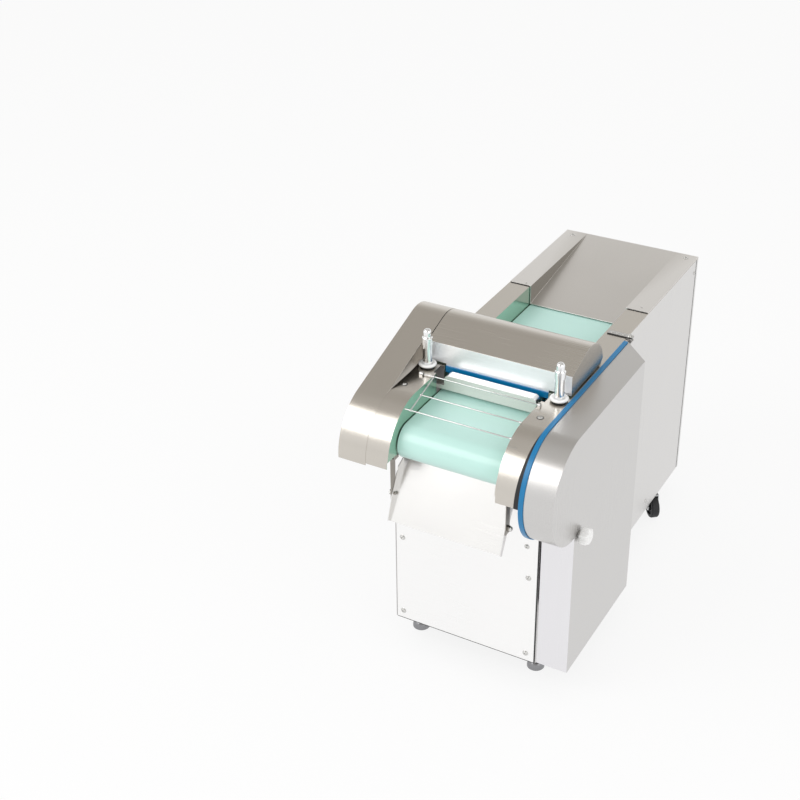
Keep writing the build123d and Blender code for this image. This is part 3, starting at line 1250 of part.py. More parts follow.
# Fixed hinge brackets of the side cover: a plate on the rim and a bracket low on the side panel
with BuildPart() as cover_pivots:
    with BuildSketch(level(RIM_Z)):
        block(WALL_X + 8, PIVOT_X, PIVOT_Y - LUG_R, PIVOT_Y + LUG_R)
        disc((PIVOT_X, PIVOT_Y), LUG_R)
    extrude(amount=PIVOT_PLATE_T)
    with BuildSketch(level(RIM_Z)):
        disc((PIVOT_X, PIVOT_Y), PIVOT_R)
    extrude(amount=UPPER_LUG_Z - 2 - RIM_Z)
    BRACKET_TOP = LOWER_LUG_Z - RUN_GAP
    with BuildSketch(level(BRACKET_TOP)):
        block(HALF_W, PIVOT_X, PIVOT_Y - LUG_R, PIVOT_Y + LUG_R)
        disc((PIVOT_X, PIVOT_Y), LUG_R)
    extrude(amount=-PIVOT_PLATE_T)
    with BuildSketch(level(BRACKET_TOP)):
        disc((PIVOT_X, PIVOT_Y), PIVOT_R)
    extrude(amount=LUG_T + RUN_GAP + 2)
cover_pivots.part.label = "cover_pivots"
export_step(cover_pivots.part, "parts/cover_pivots.step")

# Lock knob of the side cover, with its stud
STUD_TIP_X = HALF_W + 32.0
with BuildPart() as lock_knob:
    with BuildSketch(side_plane(STUD_TIP_X)):
        disc((LOCK_Y, LOCK_Z), LOCK_STUD_R)
    extrude(amount=COVER_OUT_X + 2 - STUD_TIP_X)
    with BuildSketch(side_plane(COVER_OUT_X + RUN_GAP)):
        disc((LOCK_Y, LOCK_Z), LOCK_R * 0.6)
    extrude(amount=10)
    with BuildSketch(side_plane(COVER_OUT_X + RUN_GAP + 8)):
        with Locations((LOCK_Y, LOCK_Z)):
            Circle(LOCK_R)
            with PolarLocations(LOCK_R + 4, 6):
                Circle(7, mode=Mode.SUBTRACT)
    extrude(amount=KNOB_OUT - RUN_GAP - 8)
    fillet(lock_knob.faces().sort_by(Axis.X)[-1].edges(), 4)
lock_knob.part.label = "lock_knob"
export_step(lock_knob.part, "parts/lock_knob.step")

# Socket for the lock's stud, on the right side panel
with BuildPart() as latch_bracket:
    with BuildSketch(side_plane(HALF_W)):
        with Locations((LOCK_Y, LOCK_Z)):
            RectangleRounded(44, 44, 6)
    extrude(amount=3)
    with BuildSketch(side_plane(HALF_W + 3)):
        disc((LOCK_Y, LOCK_Z), LOCK_STUD_R + 6)
    extrude(amount=STUD_TIP_X + 8 - HALF_W - 3)
    with BuildSketch(side_plane(STUD_TIP_X - 3)):
        disc((LOCK_Y, LOCK_Z), LOCK_STUD_R + 2.5)
    extrude(amount=12, mode=Mode.SUBTRACT)
latch_bracket.part.label = "latch_bracket"
export_step(latch_bracket.part, "parts/latch_bracket.step")

# Discharge chute: a sloping plate between two cheeks
with BuildPart() as discharge_chute:
    run_y = CHUTE_TOP[0] - CHUTE_LIP[0]
    run_z = CHUTE_TOP[1] - CHUTE_LIP[1]
    run = hypot(run_y, run_z)
    back = (SHEET * run_z / run, -SHEET * run_y / run)
    rear_top = (CHUTE_TOP[0] + back[0], CHUTE_TOP[1] + back[1])
    rear_lip = (CHUTE_LIP[0] + back[0], CHUTE_LIP[1] + back[1])
    with BuildSketch(side_plane(-CHUTE_HALF_W)):
        polygon(CHUTE_TOP, rear_top, rear_lip, CHUTE_LIP)
    extrude(amount=2 * CHUTE_HALF_W)
    for sign in (-1, 1):
        with BuildSketch(side_plane(sign * CHUTE_HALF_W)):
            polygon(rear_top, CHUTE_TOP, (-66, 604), (-98, 540), (-120, 478), CHUTE_LIP, rear_lip)
            disc(CHUTE_PIVOT, CHUTE_BOLT_R + RUN_FIT, mode=Mode.SUBTRACT)
        extrude(amount=-sign * SHEET)
discharge_chute.part.label = "discharge_chute"
export_step(discharge_chute.part, "parts/discharge_chute.step")

# Brackets and bolts that carry the chute from the trough walls
STRIP_Y = (CHUTE_PIVOT[0] - 12, CHUTE_PIVOT[0] + 8)
STRIP_IN = WALL_X + SHEET
STRIP_OUT = CHUTE_HALF_W + RUN_GAP
with BuildPart() as chute_brackets:
    for sign in (-1, 1):
        with BuildSketch(front_plane(STRIP_Y[0])):
            block(sign * STRIP_IN, sign * (STRIP_IN + SHEET), WALL_LOW - 12, WALL_LOW + 34)
            block(sign * STRIP_IN, sign * (STRIP_OUT + SHEET), WALL_LOW - 14, WALL_LOW - 12)
            block(sign * STRIP_OUT, sign * (STRIP_OUT + SHEET), CHUTE_PIVOT[1] - 14, WALL_LOW - 12)
        extrude(amount=STRIP_Y[0] - STRIP_Y[1])
        with BuildSketch(side_plane(sign * (CHUTE_HALF_W - SHEET - 3))):
            disc(CHUTE_PIVOT, CHUTE_BOLT_R)
        extrude(amount=sign * (SHEET + 6))
        with BuildSketch(side_plane(sign * (STRIP_OUT + SHEET))):
            with Locations(CHUTE_PIVOT):
                RegularPolygon(7.5, 6)
        extrude(amount=sign * 5)
chute_brackets.part.label = "chute_brackets"
export_step(chute_brackets.part, "parts/chute_brackets.step")

# Caster plates under the frame
PLATE_LOW = BODY_LOW - CASTER_PLATE_T
CROWN_TOP = PLATE_LOW - 2.5
FORK_IN = WHEEL_W / 2 + FORK_GAP
FORK_OUT = FORK_IN + FORK_T
with BuildPart() as caster_plates:
    with BuildSketch(level(PLATE_LOW)):
        for sign in (-1, 1):
            with Locations((sign * CASTER_X, CASTER_Y)):
                RectangleRounded(CASTER_PLATE_W, CASTER_PLATE_D, 5)
                Circle(SWIVEL_R + RUN_FIT, mode=Mode.SUBTRACT)
    extrude(amount=CASTER_PLATE_T)
caster_plates.part.label = "caster_plates"
export_step(caster_plates.part, "parts/caster_plates.step")

# Swivel forks and wheels of the casters, turned as the machine was last pushed
for hand, sign in (("left", -1), ("right", 1)):
    with BuildPart() as caster_fork:
        with BuildSketch(level(CROWN_TOP - CROWN_T)):
            disc((sign * CASTER_X, CASTER_Y), CROWN_R)
        extrude(amount=CROWN_T)
        with BuildSketch(fork_plane(sign, -FORK_OUT)):
            block(-CASTER_TRAIL - 4, 0, CROWN_TOP - CROWN_T, CROWN_TOP)
        extrude(amount=2 * FORK_OUT)
        with BuildSketch(level(CROWN_TOP)):
            disc((sign * CASTER_X, CASTER_Y), SWIVEL_R + 5)
        extrude(amount=PLATE_LOW - RUN_GAP - CROWN_TOP)
        with BuildSketch(level(CROWN_TOP)):
            disc((sign * CASTER_X, CASTER_Y), SWIVEL_R)
        extrude(amount=BODY_LOW - 0.5 - CROWN_TOP)
        for side in (-1, 1):
            with BuildSketch(fork_plane(sign, side * FORK_IN)):
                disc((-CASTER_TRAIL, WHEEL_R), AXLE_R + 6)
                polygon(
                    (-CASTER_TRAIL - AXLE_R - 6, WHEEL_R),
                    (-CASTER_TRAIL - 4, CROWN_TOP),
                    (CROWN_R * 0.7, CROWN_TOP),
                    (-CASTER_TRAIL + AXLE_R + 6, WHEEL_R - 2),
                )
            extrude(amount=side * FORK_T)
        with BuildSketch(fork_plane(sign, -FORK_OUT - FORK_GAP)):
            disc((-CASTER_TRAIL, WHEEL_R), AXLE_R)
        extrude(amount=2 * (FORK_OUT + FORK_GAP))
    caster_fork.part.label = f"caster_fork_{hand}"
    export_step(caster_fork.part, f"parts/caster_fork_{hand}.step")
    with BuildPart() as caster_wheel:
        with BuildSketch(fork_plane(sign, -WHEEL_W / 2)):
            with Locations((-CASTER_TRAIL, WHEEL_R)):
                Circle(WHEEL_R)
                Circle(AXLE_R + RUN_FIT, mode=Mode.SUBTRACT)
        extrude(amount=WHEEL_W)
        tread = caster_wheel.edges().filter_by(GeomType.CIRCLE).group_by(SortBy.RADIUS)[-1]
        fillet(tread, 5)
        for side in (-1, 1):
            with BuildSketch(fork_plane(sign, side * WHEEL_W / 2)):
                with Locations((-CASTER_TRAIL, WHEEL_R)):
                    Circle(WHEEL_R - 10)
                    Circle(AXLE_R + 6, mode=Mode.SUBTRACT)
            extrude(amount=-side * 5, mode=Mode.SUBTRACT)
    caster_wheel.part.label = f"caster_wheel_{hand}"
    export_step(caster_wheel.part, f"parts/caster_wheel_{hand}.step")

# Switch box on the left side panel
BOX_FACE_X = -HALF_W - BOX_D
with BuildPart() as switch_box:
    with BuildSketch(side_plane(-HALF_W)):
        with Locations((BOX_Y, BOX_Z)):
            RectangleRounded(BOX_W, BOX_H, 8)
    extrude(amount=-BOX_D)
    with BuildSketch(side_plane(-HALF_W)):
        with Locations((BOX_Y, BOX_Z)):
            RectangleRounded(BOX_W - 2 * 3, BOX_H - 2 * 3, 5)
    extrude(amount=-BOX_D + 3, mode=Mode.SUBTRACT)
    with BuildSketch(side_plane(-HALF_W)):
        for sign in (-1, 1):
            disc((BOX_Y, BOX_Z + sign * BUTTON_SPAN / 2), BUTTON_R + RUN_FIT)
    extrude(amount=-BOX_D - 1, mode=Mode.SUBTRACT)
switch_box.part.label = "switch_box"
export_step(switch_box.part, "parts/switch_box.step")

# Start and stop buttons, each with a flange behind the box's face
for button_name, side in (("start_button", 1), ("stop_button", -1)):
    with BuildPart() as button:
        spot = (BOX_Y, BOX_Z + side * BUTTON_SPAN / 2)
        with BuildSketch(side_plane(BOX_FACE_X - BUTTON_OUT)):
            disc(spot, BUTTON_R)
        extrude(amount=BUTTON_OUT + 8)
        fillet(button.faces().sort_by(Axis.X)[0].edges(), 2)
        with BuildSketch(side_plane(BOX_FACE_X + 3 + RUN_GAP)):
            disc(spot, BUTTON_R + 3)
        extrude(amount=5)
    button.part.label = button_name
    export_step(button.part, f"parts/{button_name}.step")
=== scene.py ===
import json
from math import atan2, cos, hypot, radians, sin

import bpy
from bpy.props import FloatProperty, FloatVectorProperty, PointerProperty
from mathutils import Matrix, Vector


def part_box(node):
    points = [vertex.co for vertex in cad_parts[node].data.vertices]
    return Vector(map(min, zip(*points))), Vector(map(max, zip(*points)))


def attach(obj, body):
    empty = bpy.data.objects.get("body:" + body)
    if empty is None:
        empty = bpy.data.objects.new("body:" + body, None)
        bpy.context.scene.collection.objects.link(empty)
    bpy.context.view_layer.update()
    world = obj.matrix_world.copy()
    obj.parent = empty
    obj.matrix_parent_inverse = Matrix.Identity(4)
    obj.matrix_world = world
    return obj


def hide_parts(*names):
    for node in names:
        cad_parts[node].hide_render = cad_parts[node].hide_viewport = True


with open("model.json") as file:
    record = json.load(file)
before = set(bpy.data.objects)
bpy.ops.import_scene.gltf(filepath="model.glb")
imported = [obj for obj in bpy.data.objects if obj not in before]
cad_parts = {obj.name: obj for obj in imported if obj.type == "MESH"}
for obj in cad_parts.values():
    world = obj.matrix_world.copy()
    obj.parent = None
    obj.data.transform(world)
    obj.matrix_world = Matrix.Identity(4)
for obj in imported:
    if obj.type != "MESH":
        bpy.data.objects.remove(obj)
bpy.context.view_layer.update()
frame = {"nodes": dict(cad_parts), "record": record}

bl_info = {
    "name": "Vegetable cutting machine",
    "version": (1, 0, 0),
    "blender": (4, 5, 0),
    "location": "3D View > Sidebar > Cutter",
    "description": "Dresses the packed frame of a vegetable cutting machine",
    "category": "Object",
}

MM = 0.001

# Places and sizes on the machine, in millimetres in the frame's coordinates; turns in degrees

BODY_MIDDLE = -23
FRONT_FACE = -446.5
REAR_FACE = 583.5
LEFT_FACE = -223
RIGHT_FACE = 177
PANEL_FOOT = 80.3
RIM_TOP = 778
HOPPER_TOP = 780
HINGE_PLATE_TOP = 781
HINGE_SCREWS_Y = 55.5
NOSE_AXIS = (-442.5, 638.0)
NOSE_RADIUS = 140.0
POST_PLACES = ((-199, -316.5), (153, -316.5))
RIM_SCREW_PLACES = ((-206, -421), (146, -407))
KNOB_PLACE = (209.2, -411.5, 490)
CHUTE_PIVOTS = (((-182.3, -532.5, 539), "left"), ((136.3, -532.5, 539), "right"))
GUARD_LEVEL = 781.3
GUARD_HINGE_Y = -361.5
GUARD_MIDDLE_Y = -452
GUARD_FRONT_Y = -525
GUARD_RODS = ((GUARD_HINGE_Y, -188, 127), (GUARD_MIDDLE_Y, -143, 120), (GUARD_FRONT_Y, -147, 131))
GUARD_BAR_X = -157
GUARD_BAR_SLANT = 26
WHEEL_X = {"left": -164.6, "right": 167.4}
WHEEL_AXLE = (408.4, 34)
CASTER_TURN = 40
FORK_OUTSIDE = 16.0
CASTER_PLATES_X = (-189, 143)
CASTER_PLATE_Y = 437.5
CASTER_PLATE_UNDERSIDE = 76
BUTTON_Y = 298.5
BUTTONS_Z = (638, 582)
LID_Y = (256.1, 340.9)
LID_Z = (544.6, 675.4)
LID_SEAM = 0.8

# Limits for joining points and for telling sharp edges from round ones

SAME_POINT = 0.00001
SAME_FLAT = radians(0.5)
BEVEL_FROM = radians(32)
SMOOTH_BELOW = radians(35)


# Settings a user would change

class SheetSettings(bpy.types.PropertyGroup):
    """Stainless sheet of the cabinet and the covers"""

    fold_radius: FloatProperty(
        name="Fold radius", description="Rounding of folded and welded edges",
        default=0.0008, min=0.0, unit="LENGTH",
    )
    pale_steel: FloatVectorProperty(
        name="Pale steel", description="Colour of the upright sheets",
        subtype="COLOR", size=3, min=0.0, max=1.0, default=(0.70, 0.69, 0.68),
    )
    warm_steel: FloatVectorProperty(
        name="Warm steel", description="Colour of the rim, the hood and the hopper",
        subtype="COLOR", size=3, min=0.0, max=1.0, default=(0.62, 0.585, 0.535),
    )


class PartSettings(bpy.types.PropertyGroup):
    """Belts, trims and fittings"""

    belt_green: FloatVectorProperty(
        name="Belt green", description="Colour of both belts",
        subtype="COLOR", size=3, min=0.0, max=1.0, default=(0.545, 0.815, 0.75),
    )
    trim_blue: FloatVectorProperty(
        name="Trim blue", description="Colour of the edge trim",
        subtype="COLOR", size=3, min=0.0, max=1.0, default=(0.0, 0.18, 0.41),
    )
    screw_radius: FloatProperty(
        name="Screw radius", description="Head radius of the panel screws",
        default=0.0055, min=0.001, unit="LENGTH",
    )


class StageSettings(bpy.types.PropertyGroup):
    """Floor, lamps and camera"""

    floor_white: FloatProperty(
        name="Floor white", description="Brightness of the floor", default=0.86, min=0.0, max=1.0,
    )
    floor_share: FloatProperty(
        name="Floor share",
        description="Share of plain white in the floor as the camera and reflections see it",
        default=0.86, min=0.0, max=1.0,
    )
    key_power: FloatProperty(
        name="Key power", description="Power of the large lamp in watts", default=95.0, min=0.0,
    )
    fill_power: FloatProperty(
        name="Fill power", description="Power of the fill lamp in watts", default=40.0, min=0.0,
    )
    lens: FloatProperty(
        name="Lens", description="Focal length of the camera in millimetres", default=65.53, min=10.0,
    )


def sheet():
    """Settings of the sheet metal."""
    return bpy.context.scene.cutter_sheet


def part():
    """Settings of belts, trims and fittings."""
    return bpy.context.scene.cutter_part


def stage_settings():
    """Settings of the stage."""
    return bpy.context.scene.cutter_stage


# Shader building blocks

def new_material(name):
    """Empty node material with its shader and output."""
    material = bpy.data.materials.new(name)
    material.use_nodes = True
    return material, material.node_tree, material.node_tree.nodes["Principled BSDF"]


def add_node(tree, kind, **inputs):
    """Node of a kind with named input values."""
    node = tree.nodes.new(kind)
    for key, value in inputs.items():
        node.inputs[key.replace("_", " ")].default_value = value
    return node


def mapped_coordinates(tree, scale):
    """Object coordinates stretched by a scale."""
    coordinates = tree.nodes.new("ShaderNodeTexCoord")
    mapping = tree.nodes.new("ShaderNodeMapping")
    mapping.inputs["Scale"].default_value = scale
    tree.links.new(coordinates.outputs["Object"], mapping.inputs["Vector"])
    return mapping.outputs["Vector"]


FINISH_INPUTS = (
    ("Color", "NodeSocketColor", (0.5, 0.5, 0.5, 1)),
    ("Tone", "NodeSocketFloat", 0.1),
    ("Roughness", "NodeSocketFloat", 0.4),
    ("Spread", "NodeSocketFloat", 0.1),
)
FINISH_OUTPUTS = (
    ("Color", "NodeSocketColor"), ("Roughness", "NodeSocketFloat"), ("Height", "NodeSocketFloat"),
)
NOISE_MIDDLE = 0.5


def finish_group(name, inputs):
    """Node group with inputs of its own as (name, type, default), then those that all finishes share."""
    group = bpy.data.node_groups.new(name, "ShaderNodeTree")
    for socket_name, kind, default in (*inputs, *FINISH_INPUTS):
        socket = group.interface.new_socket(name=socket_name, in_out="INPUT", socket_type=kind)
        if default is not None:
            socket.default_value = default
    for socket_name, kind in FINISH_OUTPUTS:
        group.interface.new_socket(name=socket_name, in_out="OUTPUT", socket_type=kind)
    return group, group.nodes.new("NodeGroupInput"), group.nodes.new("NodeGroupOutput")


def math_node(tree, operation, first, second):
    """Math node fed by sockets or numbers."""
    node = tree.nodes.new("ShaderNodeMath")
    node.operation = operation
    for slot_index, value in enumerate((first, second)):
        if isinstance(value, (int, float)):
            node.inputs[slot_index].default_value = value
        else:
            tree.links.new(value, node.inputs[slot_index])
    return node.outputs[0]


def finish_outputs(group, start, end, change, height):
    """Lets the colour and the roughness follow the change, and puts out the height."""
    links = group.links
    shade = math_node(group, "ADD", math_node(group, "MULTIPLY", change, start.outputs["Tone"]), 1.0)
    scale = group.nodes.new("ShaderNodeVectorMath")
    scale.operation = "SCALE"
    links.new(start.outputs["Color"], scale.inputs[0])
    links.new(shade, scale.inputs["Scale"])
    links.new(scale.outputs[0], end.inputs["Color"])
    rough = math_node(group, "MULTIPLY", change, start.outputs["Spread"])
    links.new(math_node(group, "ADD", rough, start.outputs["Roughness"]), end.inputs["Roughness"])
    links.new(height, end.inputs["Height"])


def grain_group():
    """Brushed grain: fine streaks along one direction over broad cloudy unevenness."""
    name = "Brushed grain"
    if name in bpy.data.node_groups:
        return bpy.data.node_groups[name]
    group, start, end = finish_group(name, (
        ("Streaks", "NodeSocketVector", None),
        ("Place", "NodeSocketVector", None),
    ))
    fine = add_node(group, "ShaderNodeTexNoise", Scale=1.0, Detail=3.0, Roughness=0.65)
    broad = add_node(group, "ShaderNodeTexNoise", Scale=3.2, Detail=2.0, Roughness=0.5)
    group.links.new(start.outputs["Streaks"], fine.inputs["Vector"])
    group.links.new(start.outputs["Place"], broad.inputs["Vector"])
    streak = math_node(group, "SUBTRACT", fine.outputs["Fac"], NOISE_MIDDLE)
    cloud = math_node(group, "SUBTRACT", broad.outputs["Fac"], NOISE_MIDDLE)
    mixed = math_node(group, "ADD", streak, math_node(group, "MULTIPLY", cloud, 0.8))
    finish_outputs(group, start, end, mixed, fine.outputs["Fac"])
    return group


def speckle_group():
    """Fine uneven surface: small bumps and a faint change of colour and gloss."""
    name = "Fine speckle"
    if name in bpy.data.node_groups:
        return bpy.data.node_groups[name]
    group, start, end = finish_group(name, (
        ("Place", "NodeSocketVector", None),
        ("Scale", "NodeSocketFloat", 300.0),
    ))
    fine = add_node(group, "ShaderNodeTexNoise", Detail=2.0, Roughness=0.5)
    broad = add_node(group, "ShaderNodeTexNoise", Scale=9.0, Detail=3.0, Roughness=0.6)
    group.links.new(start.outputs["Place"], fine.inputs["Vector"])
    group.links.new(start.outputs["Scale"], fine.inputs["Scale"])
    group.links.new(start.outputs["Place"], broad.inputs["Vector"])
    cloud = math_node(group, "SUBTRACT", broad.outputs["Fac"], NOISE_MIDDLE)
    grit = math_node(group, "SUBTRACT", fine.outputs["Fac"], NOISE_MIDDLE)
    mixed = math_node(group, "ADD", math_node(group, "MULTIPLY", grit, 0.6), cloud)
    finish_outputs(group, start, end, mixed, fine.outputs["Fac"])
    return group


RELIEF_DEPTH = 0.0002


def finish_material(name, group, color, tone, roughness, spread, metallic, relief):
    """Material whose colour, roughness and relief come from a finish group."""
    _, tree, shader = new_material(name)
    node = tree.nodes.new("ShaderNodeGroup")
    node.node_tree = group
    tree.links.new(mapped_coordinates(tree, (1, 1, 1)), node.inputs["Place"])
    for socket, value in (
        ("Color", (*color, 1)), ("Tone", tone), ("Roughness", roughness), ("Spread", spread),
    ):
        node.inputs[socket].default_value = value
    tree.links.new(node.outputs["Color"], shader.inputs["Base Color"])
    tree.links.new(node.outputs["Roughness"], shader.inputs["Roughness"])
    shader.inputs["Metallic"].default_value = metallic
    bump = add_node(tree, "ShaderNodeBump", Strength=relief, Distance=RELIEF_DEPTH)
    tree.links.new(node.outputs["Height"], bump.inputs["Height"])
    tree.links.new(bump.outputs["Normal"], shader.inputs["Normal"])
    return tree, shader, node


def brushed(name, color, grain, roughness=0.3, tone=0.10, spread=0.12, relief=0.06, metallic=1.0):
    """Brushed metal with its grain along one axis: the grain is the stretch of the streaks."""
    tree, _, node = finish_material(
        name, grain_group(), color, tone, roughness, spread, metallic, relief,
    )
    tree.links.new(mapped_coordinates(tree, grain), node.inputs["Streaks"])


def speckled(name, color, roughness=0.5, metallic=0.0, scale=300.0, tone=0.1, relief=0.1, coat=0.0):
    """Paint, plastic, rubber or cast metal with a fine uneven surface."""
    _, shader, node = finish_material(
        name, speckle_group(), color, tone, roughness, 0.1, metallic, relief,
    )
    node.inputs["Scale"].default_value = scale
    shader.inputs["Coat Weight"].default_value = coat


ALONG_X = (3.0, 900.0, 900.0)
ALONG_Y = (900.0, 3.0, 900.0)
ALONG_Z = (900.0, 900.0, 3.0)


def finishes():
    """Every finish of the machine by name."""
    if "pale sheet" in bpy.data.materials:
        return {material.name: material for material in bpy.data.materials}
    pale = tuple(sheet().pale_steel)
    warm = tuple(sheet().warm_steel)
    brushed("pale sheet", pale, ALONG_Z)
    # The front panel's steel is set near white, a lit copy of the pale sheet: painted light on the face
    # towards the lamps.
    brushed("front sheet", (0.97, 0.965, 0.96), ALONG_X, tone=0.05)
    brushed("cover sheet", (0.63, 0.62, 0.61), ALONG_Z, tone=0.07)
    brushed("rim sheet", warm, ALONG_Y, roughness=0.24)
    brushed("hood sheet", warm, ALONG_X, roughness=0.26)
    brushed("hopper sheet", (0.81, 0.79, 0.765), ALONG_Y, roughness=0.33)
    brushed("chute sheet", (0.84, 0.83, 0.815), ALONG_X, roughness=0.24)
    # The cover's low front face takes a lighter copy of the cover sheet: painted light on the face towards
    # the lamps.
    brushed("cover front", (0.82, 0.81, 0.83), ALONG_Z, tone=0.05)
    # The hood's front face takes a paler, bluish, less metallic steel: a painted highlight in place of the
    # dark reflection it would show.
    brushed("fascia steel", (0.97, 0.98, 1.0), ALONG_X, roughness=0.42, tone=0.1, metallic=0.55)
    # The hopper's inner walls take a darker copy of the hopper steel: painted shade.
    brushed("hopper wall", (0.36, 0.34, 0.31), ALONG_Y, roughness=0.22)
    # The trough's inner walls are tinted green: a painted reflection of the belt.
    brushed("trough wall", (0.40, 0.58, 0.47), ALONG_Y, roughness=0.18, tone=0.06, metallic=0.85)
    brushed("cup steel", (0.29, 0.29, 0.30), ALONG_X, roughness=0.28)
    brushed("strap steel", (0.36, 0.34, 0.31), ALONG_Z, roughness=0.3, tone=0.2)
    brushed("bright bar", (0.95, 0.95, 0.94), ALONG_X, roughness=0.28, tone=0.08)
    # The knife holder's front face takes a beige, less metallic copy of the bright bar: painted shade on the
    # rounded front.
    brushed("holder face", (0.82, 0.80, 0.765), ALONG_X, roughness=0.45, tone=0.12, metallic=0.45)
    brushed("rod steel", (0.66, 0.66, 0.655), ALONG_X, roughness=0.18, tone=0.1)
    brushed("screw steel", (0.66, 0.655, 0.64), ALONG_Z, roughness=0.24, tone=0.2)
    brushed("machined steel", (0.58, 0.575, 0.565), ALONG_X, roughness=0.32, tone=0.2)
    brushed(
        "polished steel", (0.90, 0.905, 0.91), ALONG_Z, roughness=0.16, tone=0.03, spread=0.05, relief=0.01,
    )
    brushed("zinc steel", (0.62, 0.63, 0.64), ALONG_Z, roughness=0.36, tone=0.3)
    brushed("chain steel", (0.30, 0.27, 0.23), ALONG_X, roughness=0.4, tone=0.5)
    speckled("cast iron", (0.16, 0.16, 0.165), roughness=0.55, metallic=0.6, scale=500, tone=0.4, relief=0.4)
    speckled("frame paint", (0.13, 0.135, 0.14), roughness=0.45, relief=0.15)
    speckled("motor paint", (0.06, 0.14, 0.20), roughness=0.42, relief=0.2, coat=0.2)
    speckled("box paint", (0.42, 0.43, 0.43), roughness=0.42, relief=0.25)
    speckled("belt green", tuple(part().belt_green), roughness=0.3, scale=900, tone=0.05, coat=0.35)
    # Black for seams and for strips and rings that stand for the shade in gaps: partly dark joints, partly
    # painted shade.
    speckled("seam black", (0.012, 0.012, 0.013), roughness=0.5, scale=700, tone=0.3, relief=0.2)
    speckled("black rubber", (0.018, 0.018, 0.02), roughness=0.62, scale=700, tone=0.4, relief=0.35)
    speckled(
        "trim blue", tuple(part().trim_blue), roughness=0.32, scale=500, tone=0.06, relief=0.05, coat=0.15,
    )
    speckled("white plastic", (0.95, 0.95, 0.94), roughness=0.3, scale=600, tone=0.04, relief=0.05, coat=0.3)
    speckled("knob white", (0.93, 0.93, 0.925), roughness=0.22, scale=600, tone=0.03, relief=0.04, coat=0.5)
    speckled("button green", (0.02, 0.26, 0.07), roughness=0.28, tone=0.06, relief=0.04, coat=0.4)
    speckled("button red", (0.50, 0.01, 0.01), roughness=0.28, tone=0.06, relief=0.04, coat=0.4)
    return {material.name: material for material in bpy.data.materials}


NODE_FINISH = {
    "pale sheet": ("side_panel_left", "side_panel_right", "rear_panel"),
    "cover sheet": ("side_cover",),
    "front sheet": ("front_panel",),
    "rim sheet": ("trough_side_left", "trough_side_right", "belt_bed", "left_housing"),
    "hood sheet": ("hood",),
    "hopper sheet": ("hopper_tray",),
    "chute sheet": ("discharge_chute",),
    "machined steel": (
        "front_roller", "rear_roller", "crank_shaft", "crosshead", "connecting_rod", "feed_rod",
        "feed_crank", "clutch_arm", "gear_shaft", "press_drive_roller", "press_idler", "press_arms",
        "pivot_lugs", "latch_bracket", "cover_pivots",
    ),
    "bright bar": ("knife_holder",),
    "strap steel": ("chute_brackets",),
    "polished steel": ("guide_posts", "dome_nuts", "guard_grille", "knife_blade"),
    "cast iron": ("flywheel", "motor_pulley", "shaft_bearings", "roller_bearings"),
    "frame paint": ("base_frame", "motor_base", "guide_blocks"),
    "motor paint": ("motor",),
    "belt green": ("conveyor_belt", "press_belt"),
    "black rubber": ("drive_belt", "caster_wheel_left", "caster_wheel_right"),
    "chain steel": ("feed_chain",),
    "trim blue": ("hood_trim", "cover_trim"),
    "white plastic": ("post_bushings",),
    "knob white": ("lock_knob",),
    "zinc steel": ("caster_plates", "caster_fork_left", "caster_fork_right"),
    "cup steel": ("leveling_feet",),
    "box paint": ("switch_box",),
    "button green": ("start_button",),
    "button red": ("stop_button",),
}
FINISH_OF = {node: finish for finish, nodes in NODE_FINISH.items() for node in nodes}
BODY_OF = {
    node: body for body, nodes in frame["record"]["behaviour"]["bodies"].items() for node in nodes
}
SLOT_OF = {entry["node"]: entry["material_slot"] for entry in frame["record"]["subparts"]}


# Modelling helpers

def only(piece):
    """Selects one piece alone and makes it active."""
    bpy.ops.object.select_all(action="DESELECT")
    piece.select_set(True)
    bpy.context.view_layer.objects.active = piece


def dress(piece, name, body, slot_name, finish, *replaced):
    """Names a finished piece, gives it its finish and lets it ride on its body."""
    piece.name = name
    piece.data.name = name
    piece.data.materials.clear()
    piece.data.materials.append(finishes()[finish])
    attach(piece, body)
    if replaced:
        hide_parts(*replaced)


def softened(node, radius, segments=3, shape=None, second=None, whole_flats=True):
    """Copy of a CAD node with its faces joined and its sharp edges rounded; it stands for the node.

    The shape is a function that moves points first, and second is a (finish, test) for some of the faces.
    """
    source = frame["nodes"][node]
    piece = source.copy()
    piece.data = source.data.copy()
    bpy.context.scene.collection.objects.link(piece)
    only(piece)
    bpy.ops.object.mode_set(mode="EDIT")
    bpy.ops.mesh.select_all(action="SELECT")
    bpy.ops.mesh.remove_doubles(threshold=SAME_POINT)
    if whole_flats:
        bpy.ops.mesh.dissolve_limited(angle_limit=SAME_FLAT)
    if shape:
        shape(piece)
    bpy.ops.object.mode_set(mode="OBJECT")
    bpy.ops.object.modifier_add(type="BEVEL")
    bevel = piece.modifiers[-1]
    bevel.width = radius
    bevel.segments = segments
    bevel.limit_method = "ANGLE"
    bevel.angle_limit = BEVEL_FROM
    bpy.ops.object.modifier_apply(modifier=bevel.name)
    bpy.ops.object.shade_smooth_by_angle(angle=SMOOTH_BELOW)
    dress(piece, f"{node}_finished", BODY_OF[node], SLOT_OF[node], FINISH_OF[node], node)
    if second:
        other_finish(piece, *second)
    even_shading(piece)


def even_shading(piece):
    """Lets the broad faces of a piece keep their own direction, so that they shade flat up to their edges."""
    only(piece)
    bpy.ops.object.modifier_add(type="WEIGHTED_NORMAL")
    weighting = piece.modifiers[-1]
    weighting.keep_sharp = True
    bpy.ops.object.modifier_apply(modifier=weighting.name)


def pick_faces(piece, test):
    """Selects in edit mode the faces whose centre and normal pass a test."""
    bpy.ops.mesh.select_mode(type="FACE")
    bpy.ops.mesh.select_all(action="DESELECT")
    bpy.ops.object.mode_set(mode="OBJECT")
    for face in piece.data.polygons:
        face.select = test(face.center, face.normal)
    bpy.ops.object.mode_set(mode="EDIT")


